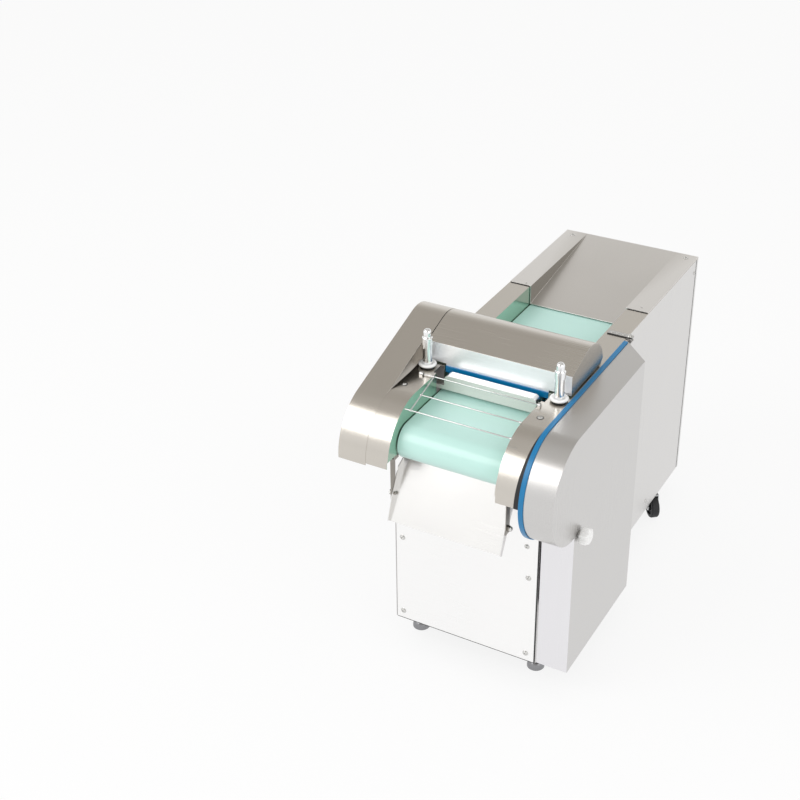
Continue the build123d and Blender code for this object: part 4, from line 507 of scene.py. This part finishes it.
def other_finish(piece, finish, test):
    """Gives the faces that pass a test a finish of their own."""
    only(piece)
    bpy.ops.object.mode_set(mode="EDIT")
    pick_faces(piece, test)
    bpy.ops.object.mode_set(mode="OBJECT")
    piece.data.materials.append(finishes()[finish])
    for face in piece.data.polygons:
        if face.select:
            face.material_index = 1


def place(x, y, z):
    """Point given in millimetres, in metres."""
    return Vector((x * MM, y * MM, z * MM))


def settle(piece):
    """Puts the piece's place and turn into its mesh."""
    only(piece)
    bpy.ops.object.transform_apply(location=True, rotation=True, scale=True)


TURNS = {
    "up": (0, 0, 0),
    "down": (180, 0, 0),
    "front": (90, 0, 0),
    "back": (-90, 0, 0),
    "right": (0, 90, 0),
    "left": (0, -90, 0),
}


def turned(spot, steps, way="up", sides=40, smooth=38):
    """Turned piece: a disc drawn out along its axis, each step a height and a radius in millimetres."""
    bpy.ops.object.select_all(action="DESELECT")
    height, radius = steps[0]
    bpy.ops.mesh.primitive_circle_add(
        vertices=sides, radius=radius * MM, fill_type="NGON", location=(0, 0, height * MM),
    )
    piece = bpy.context.object
    settle(piece)
    bpy.ops.object.mode_set(mode="EDIT")
    bpy.ops.mesh.select_all(action="SELECT")
    for next_height, next_radius in steps[1:]:
        bpy.ops.mesh.extrude_region_move(
            TRANSFORM_OT_translate={"value": (0, 0, (next_height - height) * MM)},
        )
        ratio = next_radius / radius
        bpy.ops.transform.resize(value=(ratio, ratio, 1), center_override=(0, 0, next_height * MM))
        height, radius = next_height, next_radius
    bpy.ops.mesh.select_all(action="SELECT")
    bpy.ops.mesh.normals_make_consistent(inside=False)
    bpy.ops.object.mode_set(mode="OBJECT")
    bpy.ops.object.shade_smooth_by_angle(angle=radians(smooth))
    if isinstance(way, str):
        way = TURNS[way]
    piece.rotation_euler = [radians(angle) for angle in way]
    piece.location = spot
    settle(piece)
    return piece


def bar(low, high, edge):
    """Straight bar or plate between two corners, its edges rounded."""
    bpy.ops.object.select_all(action="DESELECT")
    middle = [(a + b) / 2 * MM for a, b in zip(low, high)]
    size = [(b - a) * MM for a, b in zip(low, high)]
    bpy.ops.mesh.primitive_cube_add(size=1, location=middle, scale=size)
    piece = bpy.context.object
    settle(piece)
    bpy.ops.object.mode_set(mode="EDIT")
    bpy.ops.mesh.select_all(action="SELECT")
    bpy.ops.mesh.bevel(offset=edge * MM, segments=2, profile=0.5)
    bpy.ops.object.mode_set(mode="OBJECT")
    bpy.ops.object.shade_smooth_by_angle(angle=radians(40))
    return piece


def pick_points(piece, test):
    """Selects in edit mode the points whose place passes a test."""
    bpy.ops.mesh.select_mode(type="VERT")
    bpy.ops.mesh.select_all(action="DESELECT")
    bpy.ops.object.mode_set(mode="OBJECT")
    for point in piece.data.vertices:
        point.select = test(point.co)
    bpy.ops.object.mode_set(mode="EDIT")


def joined(pieces):
    """One piece made of several."""
    bpy.ops.object.select_all(action="DESELECT")
    for piece in pieces:
        piece.select_set(True)
    bpy.context.view_layer.objects.active = pieces[0]
    if len(pieces) > 1:
        bpy.ops.object.join()
    return bpy.context.object


def steel_fittings(pieces, name, body="cabinet"):
    """Joins screws, nuts or bezels and gives them their steel."""
    dress(joined(pieces), name, body, "zinc_steel", "screw steel")


def dark_seams_and_shade(pieces, name):
    """Joins dark strips or rings and gives them their black: seams, and strips that are painted shade in gaps
    and round screw heads.
    """
    dress(joined(pieces), name, "cabinet", "black_rubber", "seam black")


WASHER_SHARE = 1.45


def screw(x, y, z, way, scale=1.0, rise=1.0):
    """Button head with a socket, seated on a washer."""
    head = part().screw_radius * scale / MM
    washer = head * WASHER_SHARE
    lift = scale * rise
    steps = (
        (-0.4, washer), (0.4 * rise, washer), (0.65 * rise, washer - 0.3), (0.7 * rise, head),
        (1.6 * lift, head * 0.98), (2.6 * lift, head * 0.86), (3.1 * lift, head * 0.62),
        (3.15 * lift, head * 0.42), (1.4 * lift, head * 0.40),
    )
    return turned(place(x, y, z), steps, way, sides=30)


def screw_shade_ring(x, y, z, way, scale):
    """Thin dark ring round a screw's washer: painted shade round the head."""
    reach = part().screw_radius * scale * WASHER_SHARE / MM + 1.7
    steps = ((-0.3, reach - 0.4), (0.2, reach), (0.36, reach - 0.3))
    return turned(place(x, y, z), steps, way, sides=30)


def hex_nut(spot, way, across, height, bore):
    """Hexagon nut with chamfered corners and the end of its bolt showing."""
    nut_steps = (
        (0, across * 0.94), (height * 0.12, across), (height * 0.86, across),
        (height, across * 0.88), (height, bore), (height * 0.7, bore),
    )
    bolt_steps = ((0, bore), (height * 1.2, bore), (height * 1.35, bore * 0.8))
    return joined((
        turned(spot, nut_steps, way, sides=6, smooth=20),
        turned(spot, bolt_steps, way, sides=24),
    ))


class CUTTER_OT_sheets(bpy.types.Operator):
    """Round the edges of the sheets and of the solid pieces"""

    bl_idname = "cutter.sheets"
    bl_label = "Rounded edges"

    def execute(self, context):
        fold = sheet().fold_radius
        for node, second in ROUNDED_SHEETS:
            softened(node, fold, second=second)
        # The knife holder's front faces take the painted shade.
        softened("knife_holder", 2.0 * MM, second=("holder face", faces_front))
        for node, radius in ROUNDED_PARTS:
            softened(node, radius * MM)
        return {"FINISHED"}


FACING = 0.93
FACING_SQUARELY = 0.97
COVER_NOSE_FOOT = 492
WALLS_WITHIN = 146


def faces_front(centre, normal):
    """Faces that look to the front."""
    return normal.y < -FACING


def faces_front_low(centre, normal):
    """Flat front face of the cover below its nose."""
    return normal.y < -FACING_SQUARELY and centre.z < COVER_NOSE_FOOT * MM


def faces_belt(centre, normal):
    """Inner faces of the walls beside the belt."""
    beside = abs(centre.x - BODY_MIDDLE * MM) < WALLS_WITHIN * MM
    return beside and abs(normal.x) > FACING and centre.x * normal.x < 0


# The second finishes of the hood, the cover, the hopper and the trough walls are a painted highlight, painted
# light, painted shade and a painted reflection.
ROUNDED_SHEETS = (
    ("hood", ("fascia steel", faces_front)),
    ("side_cover", ("cover front", faces_front_low)),
    ("hopper_tray", ("hopper wall", faces_belt)),
    ("trough_side_left", ("trough wall", faces_belt)),
    ("trough_side_right", ("trough wall", faces_belt)),
    ("left_housing", None),
    ("front_panel", None),
    ("discharge_chute", None),
)
ROUNDED_PARTS = (
    ("switch_box", 2.0), ("hood_trim", 2.0), ("dome_nuts", 0.6),
    ("start_button", 1.2), ("stop_button", 1.2), ("latch_bracket", 0.6), ("flywheel", 1.0),
    ("motor_pulley", 0.8), ("guide_blocks", 1.2), ("motor", 1.0),
)


class CUTTER_OT_panel_screws(bpy.types.Operator):
    """Drive the screws of the front, rear and side panels"""

    bl_idname = "cutter.panel_screws"
    bl_label = "Panel screws"

    def execute(self, context):
        front = [screw(x, FRONT_FACE, z, "front") for x in (-202, 150) for z in (104, 341)]
        front.append(screw(143, FRONT_FACE, 434, "front", 0.9))
        steel_fittings(front, "front_panel_screws")
        rear = [screw(x, REAR_FACE, z, "back", rise=0.6) for x in (-205, 159) for z in (104, 420, 752)]
        steel_fittings(rear, "rear_panel_screws")
        right = [screw(RIGHT_FACE, y, z, "right", 0.8) for y, z in ((309, 117), (560, 740))]
        steel_fittings(right, "right_panel_screws")
        left = [screw(LEFT_FACE, y, z, "left", 0.8)
                for y, z in ((-420, 117), (60, 117), (560, 117), (560, 740))]
        steel_fittings(left, "left_panel_screws")
        return {"FINISHED"}


class CUTTER_OT_rim_screws(bpy.types.Operator):
    """Drive the screws of the rim, the hopper and the hinge plate"""

    bl_idname = "cutter.rim_screws"
    bl_label = "Rim screws"

    def execute(self, context):
        steel_fittings([screw(x, y, RIM_TOP, "up", 0.85) for x, y in RIM_SCREW_PLACES], "rim_screws")
        # Dark rings round the rim screws are painted shade round their heads.
        dark_seams_and_shade([screw_shade_ring(x, y, RIM_TOP, "up", 0.85) for x, y in RIM_SCREW_PLACES], "rim_screw_seals")
        hopper = [screw(x, y, HOPPER_TOP, "up", 0.95) for x, y in ((-194, 556), (148, 560))]
        hopper += [screw(x, y, HOPPER_TOP, "up", 0.45) for x, y in ((-178, 208), (150, 218))]
        steel_fittings(hopper, "hopper_screws")
        hinge = [screw(x, HINGE_SCREWS_Y, HINGE_PLATE_TOP, "up", 0.62) for x in (134, 149, 164)]
        pin_steps = ((-0.4, 7.5), (0.8, 7.5), (1.4, 6.9), (1.5, 4.6), (4.6, 4.6), (5.4, 3.8))
        hinge.append(turned(place(182, HINGE_SCREWS_Y, HINGE_PLATE_TOP), pin_steps, sides=28))
        steel_fittings(hinge, "hinge_plate_screws")
        return {"FINISHED"}


class CUTTER_OT_seams(bpy.types.Operator):
    """Lay black strips along the seams at the hopper, the hinge, the rear corners, the front panel and the
    nose: painted shade in the gaps between the parts
    """

    bl_idname = "cutter.seams"
    bl_label = "Seams"

    def execute(self, context):
        tray_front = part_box("hopper_tray")[0][1] / MM
        foot = RIM_TOP - 0.2
        # Black strips under the tray's front ends stand for the shadow at its edge: painted shade.
        ends = [bar((low, tray_front - 0.9, foot), (high, tray_front + 0.1, 779.9), 0.3)
                for low, high in ((-221, -164), (118, 175))]
        # Black strip along the hinge line: partly the joint, partly painted shade.
        ends.append(bar((124, 46.5, foot), (193, 47.7, 780.6), 0.3))
        dark_seams_and_shade(ends, "hopper_end_seams")
        # Black strips at the rear corner joints: the seams, with their shade painted in.
        sides = ((RIGHT_FACE - 0.6, RIGHT_FACE + 0.35), (LEFT_FACE - 0.35, LEFT_FACE + 0.6))
        dark_seams_and_shade([
            bar((low, 569.6, 82), (high, 572.4, 775), 0.2) for low, high in sides
        ], "rear_corner_seams")
        # Black strips below the front panel and between it and the cover: painted shade in the gaps.
        before, behind = FRONT_FACE - 0.5, FRONT_FACE + 0.3
        dark_seams_and_shade([
            bar((-219, before, PANEL_FOOT), (173, behind, PANEL_FOOT + 1.3), 0.2),
            bar((172.8, before, PANEL_FOOT), (176.8, behind, 520), 0.2),
        ], "front_panel_seam")
        # The black strip on the nose is painted shade beside the trim.
        dark_seams_and_shade([nose_seal()], "nose_seal")
        return {"FINISHED"}


# Size and shape of the black strip on the nose beside the trim, painted shade in the gap
NOSE_SHADE_STEPS = 40
NOSE_SHADE_TURN = 82
NOSE_SHADE_X = 172.3
NOSE_SHADE_WIDTH = 13.0
NOSE_SHADE_THICKNESS = 2.2
NOSE_SHADE_LIFT = 0.3
NOSE_SHADE_INNER_SIDE = 175.5
NOSE_SHADE_RING_REACH = 2.4
NOSE_SHADE_TAPER = 11.0
NOSE_SHADE_TAPER_CURVE = 1.4


def nose_seal():
    """Black strip along the nose beside the cover, narrowing towards the top: painted shade in the gap beside
    the trim.
    """
    bpy.ops.object.select_all(action="DESELECT")
    bpy.ops.mesh.primitive_plane_add(size=1, location=(0, 0, 0))
    piece = bpy.context.object
    piece.scale = (NOSE_SHADE_WIDTH * MM, NOSE_SHADE_THICKNESS * MM, 1)
    piece.location = place(NOSE_SHADE_X, NOSE_AXIS[0] - NOSE_RADIUS - NOSE_SHADE_LIFT, NOSE_AXIS[1])
    settle(piece)
    bpy.ops.object.mode_set(mode="EDIT")
    bpy.ops.mesh.select_all(action="SELECT")
    bpy.ops.mesh.spin(
        steps=NOSE_SHADE_STEPS, angle=radians(NOSE_SHADE_TURN), center=place(0, *NOSE_AXIS), axis=(1, 0, 0),
    )
    bpy.ops.mesh.select_all(action="SELECT")
    bpy.ops.mesh.remove_doubles(threshold=SAME_POINT)
    bpy.ops.mesh.normals_make_consistent(inside=False)
    for step in range(NOSE_SHADE_STEPS + 1):
        angle = radians(NOSE_SHADE_TURN * step / NOSE_SHADE_STEPS)
        ring_y = NOSE_AXIS[0] - NOSE_RADIUS * cos(angle)
        ring_z = NOSE_AXIS[1] + NOSE_RADIUS * sin(angle)
        pick_points(piece, lambda point: (
            point.x < NOSE_SHADE_INNER_SIDE * MM
            and abs(point.y / MM - ring_y) < NOSE_SHADE_RING_REACH
            and abs(point.z / MM - ring_z) < NOSE_SHADE_RING_REACH
        ))
        taper = NOSE_SHADE_TAPER * MM * (step / NOSE_SHADE_STEPS) ** NOSE_SHADE_TAPER_CURVE
        bpy.ops.transform.translate(value=(taper, 0, 0))
    bpy.ops.object.mode_set(mode="OBJECT")
    bpy.ops.object.shade_smooth_by_angle(angle=SMOOTH_BELOW)
    return piece


class CUTTER_OT_bushings(bpy.types.Operator):
    """Turn the white guide rings and their dark seals under the posts"""

    bl_idname = "cutter.bushings"
    bl_label = "Post bushings"

    def execute(self, context):
        ring_steps = (
            (782.6, 12.6), (782.6, 20.6), (783.3, 21.8), (784.6, 22.6), (786.6, 22.6), (787.8, 21.8),
            (788.4, 20.4), (788.4, 16.2), (787.2, 14.8), (787.0, 12.6), (782.6, 12.6),
        )
        seal_steps = (
            (776.4, 12.5), (776.4, 17.0), (777.8, 18.2), (779.2, 18.2), (780.4, 17.0), (781.6, 18.2),
            (782.7, 17.0), (782.7, 12.5), (776.4, 12.5),
        )
        rings = [turned(place(x, y, 0), ring_steps, sides=56) for x, y in POST_PLACES]
        dress(joined(rings), "post_guide_rings", "cabinet", "white_plastic", "white plastic", "post_bushings")
        dark_seams_and_shade([turned(place(x, y, 0), seal_steps, sides=48) for x, y in POST_PLACES], "post_seals")
        return {"FINISHED"}


class CUTTER_OT_grille(bpy.types.Operator):
    """Weld the rod guard over the belt"""

    bl_idname = "cutter.grille"
    bl_label = "Guard grille"

    def execute(self, context):
        rod = 1.7
        pieces = []
        for y, low, high in GUARD_RODS:
            length = high - low
            pieces.append(turned(place(low, y, GUARD_LEVEL), (
                (0, rod * 0.5), (0.5, rod * 0.85), (1.2, rod),
                (length - 1.2, rod), (length - 0.5, rod * 0.85), (length, rod * 0.5),
            ), "right", sides=20))
        slanted = turned(place(GUARD_BAR_X, GUARD_HINGE_Y, GUARD_LEVEL), (
            (-1.6, rod * 0.6), (-1.0, rod), (164.4, rod), (165.0, rod * 0.6)), "front", sides=20)
        bpy.ops.object.mode_set(mode="EDIT")
        pick_points(slanted, lambda point: point.y < GUARD_MIDDLE_Y * MM)
        bpy.ops.transform.translate(value=(GUARD_BAR_SLANT * MM, 0, 0))
        bpy.ops.object.mode_set(mode="OBJECT")
        pieces.append(slanted)
        crossing_steps = ((-3.6, 1.2), (-3.0, 2.3), (-1.2, 2.95), (1.2, 2.95), (3.0, 2.3), (3.6, 1.2))
        end_steps = ((-2.6, 1.0), (-2.0, 2.4), (0, 2.9), (2.6, 2.6), (3.8, 1.4))
        for x, y, weld_steps in (
            (GUARD_BAR_X, GUARD_HINGE_Y, crossing_steps),
            (-142.6, GUARD_MIDDLE_Y, crossing_steps),
            (GUARD_BAR_X + GUARD_BAR_SLANT, GUARD_FRONT_Y, crossing_steps),
            (116, GUARD_MIDDLE_Y, end_steps),
            (127, GUARD_FRONT_Y, end_steps),
        ):
            pieces.append(turned(place(x, y, GUARD_LEVEL), weld_steps, "right", sides=20))
        dress(joined(pieces), "guard_rods", "grille", "polished_steel", "rod steel", "guard_grille")
        return {"FINISHED"}


KNOB_LOBES = 6
LOBES_BEYOND = 13
LOBES_FROM, LOBES_TO = 57, 80
LOBES_MIDDLE = 68


class CUTTER_OT_knob(bpy.types.Operator):
    """Cast the lobed cover knob on its turned neck"""

    bl_idname = "cutter.knob"
    bl_label = "Cover knob"

    def execute(self, context):
        spot = place(*KNOB_PLACE)
        head = turned(Vector((0, 0, 0)), (
            (54, 9.0), (56, 14.0), (58.5, 19.2), (62, 21.0), (74, 21.0), (78.5, 19.4), (81.5, 15.5),
            (83.5, 9.0), (83.5, 5.5), (82.6, 4.5),
        ), sides=72, smooth=60)
        only(head)
        bpy.ops.object.mode_set(mode="EDIT")
        for near, far, ratio in ((0.55, 1.01, 1.15), (-1.01, -0.55, 0.87)):
            pick_points(head, lambda point: (
                near < cos(KNOB_LOBES * atan2(point.y, point.x)) < far
                and hypot(point.x, point.y) > LOBES_BEYOND * MM
                and LOBES_FROM * MM < point.z < LOBES_TO * MM
            ))
            bpy.ops.transform.resize(value=(ratio, ratio, 1), center_override=place(0, 0, LOBES_MIDDLE))
        bpy.ops.object.mode_set(mode="OBJECT")
        bpy.ops.object.modifier_add(type="SUBSURF")
        rounding = head.modifiers[-1]
        rounding.levels = 1
        rounding.render_levels = 1
        bpy.ops.object.modifier_apply(modifier=rounding.name)
        head.rotation_euler = (0, radians(90), 0)
        head.location = spot
        settle(head)
        bpy.ops.object.shade_smooth()
        dress(head, "cover_knob", "lock_knob", "knob_metal", "knob white", "lock_knob")
        neck = turned(spot, (
            (0, 8.0), (0, 13.0), (1.0, 14.0), (4.5, 14.0), (5.5, 13.0), (5.8, 9.0), (20, 8.4), (44, 8.4),
            (46, 9.6), (52, 9.6), (54.5, 8.0),
        ), "right")
        dress(neck, "cover_knob_neck", "lock_knob", "knob_metal", "screw steel")
        return {"FINISHED"}


TRIM_OUTER_SIDE = 183
TRIM_WIDENING = 3.4
BELT_SIDES_BEYOND = 100
BELT_BROADENING = 3.8


def widened(piece):
    """Draws the outer side of the trim further over the cover."""
    pick_points(piece, lambda point: point.x > TRIM_OUTER_SIDE * MM)
    bpy.ops.transform.translate(value=(TRIM_WIDENING * MM, 0, 0))


def broadened(piece):
    """Draws the belt's edges nearer to the trough walls."""
    low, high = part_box("conveyor_belt")
    middle = (low[0] + high[0]) / 2
    for side in (-1, 1):
        pick_points(piece, lambda point: side * (point.x - middle) > BELT_SIDES_BEYOND * MM)
        bpy.ops.transform.translate(value=(side * BELT_BROADENING * MM, 0, 0))


class CUTTER_OT_trims(bpy.types.Operator):
    """Press the blue edge trim onto the cover and lay the belt between the trough walls"""

    bl_idname = "cutter.trims"
    bl_label = "Edge trims and belt"

    def execute(self, context):
        softened("cover_trim", 2.2 * MM, segments=4, shape=widened, whole_flats=False)
        softened("conveyor_belt", 0.8 * MM, segments=2, shape=broadened, whole_flats=False)
        return {"FINISHED"}


class CUTTER_OT_chute_fittings(bpy.types.Operator):
    """Fit the pivot nuts of the chute"""

    bl_idname = "cutter.chute_fittings"
    bl_label = "Chute fittings"

    def execute(self, context):
        pivots = [hex_nut(place(*spot), way, 6.2, 4.6, 3.0) for spot, way in CHUTE_PIVOTS]
        steel_fittings(pivots, "chute_pivot_nuts")
        return {"FINISHED"}


class CUTTER_OT_casters(bpy.types.Operator):
    """Fit the axle nuts and the plate screws of the casters"""

    bl_idname = "cutter.casters"
    bl_label = "Casters"

    def execute(self, context):
        turn = radians(CASTER_TURN)
        axle_y, axle_z = WHEEL_AXLE
        for side, x in WHEEL_X.items():
            nuts = []
            for sign, heading in ((-1, CASTER_TURN - 90), (1, CASTER_TURN + 90)):
                reach = sign * (FORK_OUTSIDE - 0.3)
                spot = place(x + reach * cos(turn), axle_y + reach * sin(turn), axle_z)
                nuts.append(hex_nut(spot, (90, 0, heading), 6.5, 4.5, 3.2))
            steel_fittings(nuts, f"caster_axle_nuts_{side}", f"caster_fork_{side}")
        steel_fittings([
            screw(x + dx, CASTER_PLATE_Y + dy, CASTER_PLATE_UNDERSIDE, "down", 0.7)
            for x in CASTER_PLATES_X for dx in (-23, 23) for dy in (-31, 31)
        ], "caster_plate_screws")
        return {"FINISHED"}


class CUTTER_OT_switches(bpy.types.Operator):
    """Fit the button bezels, the lid screws and the lid seam of the switch box"""

    bl_idname = "cutter.switches"
    bl_label = "Switch box"

    def execute(self, context):
        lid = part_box("switch_box")[0][0] / MM
        bezel_steps = ((-0.4, 19.5), (1.6, 19.5), (3.0, 18.4), (3.4, 16.8), (3.4, 15.4), (0.2, 15.4))
        steel_fittings([
            turned(place(lid, BUTTON_Y, z), bezel_steps, "left", sides=48) for z in BUTTONS_Z
        ], "button_bezels")
        steel_fittings([
            screw(lid, y, z, "left", 0.5) for y in (263, 334) for z in (552, 668)
        ], "switch_box_screws")
        near, far = lid + 7.6, lid + 8.8
        seam = [bar((near, LID_Y[0], z), (far, LID_Y[1], z + LID_SEAM), 0.2)
                for z in (LID_Z[0], LID_Z[1] - LID_SEAM)]
        seam += [bar((near, y, LID_Z[0]), (far, y + LID_SEAM, LID_Z[1]), 0.2)
                 for y in (LID_Y[0], LID_Y[1] - LID_SEAM)]
        dark_seams_and_shade(seam, "switch_box_seam")
        return {"FINISHED"}


class CUTTER_OT_finishes(bpy.types.Operator):
    """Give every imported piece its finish"""

    bl_idname = "cutter.finishes"
    bl_label = "Finishes"

    def execute(self, context):
        materials = finishes()
        for node, finish in FINISH_OF.items():
            piece = frame["nodes"][node]
            piece.data.materials.clear()
            piece.data.materials.append(materials[finish])
        return {"FINISHED"}


LAMP_AIM = Vector((0, 0, 0.4))


class CUTTER_OT_stage(bpy.types.Operator):
    """Set the floor, the lamps, the world and the camera"""

    bl_idname = "cutter.stage"
    bl_label = "Stage"

    def execute(self, context):
        settings = stage_settings()
        bpy.ops.object.select_all(action="DESELECT")
        bpy.ops.mesh.primitive_plane_add(size=60, location=(0, 0, 0))
        floor = context.object
        floor.name = "floor"
        material, tree, shader = new_material("studio floor")
        shader.inputs["Roughness"].default_value = 0.9
        white = settings.floor_white
        shader.inputs["Base Color"].default_value = (white, white, white, 1)
        shader.inputs["Specular IOR Level"].default_value = 0.1
        light = add_node(tree, "ShaderNodeEmission", Strength=1.0)
        light.inputs["Color"].default_value = (1, 1, 1, 1)
        mix = tree.nodes.new("ShaderNodeMixShader")
        share = math_node(tree, "MULTIPLY", seen_rays(tree), settings.floor_share)
        tree.links.new(share, mix.inputs["Fac"])
        tree.links.new(shader.outputs[0], mix.inputs[1])
        tree.links.new(light.outputs[0], mix.inputs[2])
        tree.links.new(mix.outputs[0], tree.nodes["Material Output"].inputs["Surface"])
        floor.data.materials.append(material)
        for name, spot, size, power in (
            ("key lamp", (-2.6, -3.4, 3.8), 3.2, settings.key_power),
            ("fill lamp", (3.6, -1.6, 3.0), 3.0, settings.fill_power),
        ):
            lamp = bpy.data.lights.new(name, "AREA")
            lamp.size = size
            lamp.energy = power
            holder = bpy.data.objects.new(name, lamp)
            holder.location = spot
            aim = LAMP_AIM - Vector(spot)
            holder.rotation_mode = "QUATERNION"
            holder.rotation_quaternion = aim.to_track_quat("-Z", "Y")
            context.scene.collection.objects.link(holder)
        world_light(context)
        place_camera(context, settings.lens)
        context.scene.view_settings.view_transform = "Standard"
        return {"FINISHED"}


def seen_rays(tree):
    """One for rays of the camera, of reflections and through glass, nought for the light's own."""
    path = tree.nodes.new("ShaderNodeLightPath")
    total = math_node(tree, "ADD", path.outputs["Is Camera Ray"], path.outputs["Is Glossy Ray"])
    total = math_node(tree, "ADD", total, path.outputs["Is Transmission Ray"])
    return math_node(tree, "MINIMUM", total, 1.0)


def sky_ramp(tree, height, tones):
    """Colours from the horizon to the zenith, each with its height."""
    ramp = tree.nodes.new("ShaderNodeValToRGB")
    tree.links.new(height, ramp.inputs["Fac"])
    elements = ramp.color_ramp.elements
    elements[0].position, elements[0].color = tones[0][0], (*tones[0][1], 1)
    elements[1].position, elements[1].color = tones[-1][0], (*tones[-1][1], 1)
    for position, tone in tones[1:-1]:
        elements.new(position).color = (*tone, 1)
    return ramp.outputs["Color"]


SKY_OF_LIGHT = (
    (0.0, (0.90, 0.895, 0.885)), (0.5, (0.84, 0.83, 0.815)), (1.0, (0.95, 0.95, 0.95)),
)
SKY_OF_REFLECTIONS = (
    (0.0, (1, 1, 1)), (0.30, (1, 1, 1)), (0.46, (0.74, 0.73, 0.71)), (0.62, (0.56, 0.545, 0.52)),
    (0.85, (0.50, 0.48, 0.45)), (1.0, (0.74, 0.73, 0.71)),
)


def world_light(context):
    """Soft studio surround: a white backdrop that darkens towards the ceiling, and even light."""
    world = bpy.data.worlds.new("studio")
    context.scene.world = world
    world.use_nodes = True
    tree = world.node_tree
    tree.nodes.clear()
    output = tree.nodes.new("ShaderNodeOutputWorld")
    coordinates = tree.nodes.new("ShaderNodeTexCoord")
    split = tree.nodes.new("ShaderNodeSeparateXYZ")
    tree.links.new(coordinates.outputs["Generated"], split.inputs[0])
    height = split.outputs["Z"]
    soft = add_node(tree, "ShaderNodeBackground", Strength=0.85)
    tree.links.new(sky_ramp(tree, height, SKY_OF_LIGHT), soft.inputs["Color"])
    seen = add_node(tree, "ShaderNodeBackground", Strength=1.0)
    tree.links.new(sky_ramp(tree, height, SKY_OF_REFLECTIONS), seen.inputs["Color"])
    mix = tree.nodes.new("ShaderNodeMixShader")
    tree.links.new(seen_rays(tree), mix.inputs["Fac"])
    tree.links.new(soft.outputs[0], mix.inputs[1])
    tree.links.new(seen.outputs[0], mix.inputs[2])
    tree.links.new(mix.outputs[0], output.inputs["Surface"])


CAMERA_PLACE = (1.291, -3.0515, 2.545)
CAMERA_AIM = (-0.43180, 0.74556, -0.50764)
CAMERA_ROLL = radians(-0.93)
CAMERA_SHIFT = (0.0064, -0.0124)


def place_camera(context, lens):
    """Camera at the photograph's viewing angle."""
    data = bpy.data.cameras.new("camera")
    data.lens = lens
    data.sensor_width = 36
    data.shift_x, data.shift_y = CAMERA_SHIFT
    camera = bpy.data.objects.new("camera", data)
    camera.rotation_mode = "QUATERNION"
    turn = Vector(CAMERA_AIM).to_track_quat("-Z", "Y")
    camera.rotation_quaternion = turn @ Matrix.Rotation(CAMERA_ROLL, 3, "Z").to_quaternion()
    camera.location = CAMERA_PLACE
    context.scene.collection.objects.link(camera)
    context.scene.camera = camera


class CUTTER_PT_panel(bpy.types.Panel):
    """Sidebar panel with every step"""

    bl_idname = "CUTTER_PT_panel"
    bl_label = "Vegetable cutter"
    bl_space_type = "VIEW_3D"
    bl_region_type = "UI"
    bl_category = "Cutter"

    def draw(self, context):
        for step in STEPS:
            self.layout.operator(step.bl_idname)


STEPS = (
    CUTTER_OT_finishes,
    CUTTER_OT_sheets,
    CUTTER_OT_trims,
    CUTTER_OT_seams,
    CUTTER_OT_panel_screws,
    CUTTER_OT_rim_screws,
    CUTTER_OT_bushings,
    CUTTER_OT_grille,
    CUTTER_OT_knob,
    CUTTER_OT_chute_fittings,
    CUTTER_OT_casters,
    CUTTER_OT_switches,
    CUTTER_OT_stage,
)
SETTINGS = (
    ("cutter_sheet", SheetSettings),
    ("cutter_part", PartSettings),
    ("cutter_stage", StageSettings),
)


def register():
    """Registers the settings, the steps and the panel."""
    for name, group in SETTINGS:
        bpy.utils.register_class(group)
        setattr(bpy.types.Scene, name, PointerProperty(type=group))
    for step in STEPS:
        bpy.utils.register_class(step)
    bpy.utils.register_class(CUTTER_PT_panel)


def unregister():
    """Takes everything out again, in the other order."""
    bpy.utils.unregister_class(CUTTER_PT_panel)
    for step in reversed(STEPS):
        bpy.utils.unregister_class(step)
    for name, group in reversed(SETTINGS):
        delattr(bpy.types.Scene, name)
        bpy.utils.unregister_class(group)


def main():
    """Builds the scene step by step."""
    register()
    for step in STEPS:
        family, action = step.bl_idname.split(".")
        getattr(getattr(bpy.ops, family), action)()


if __name__ == "__main__":
    main()
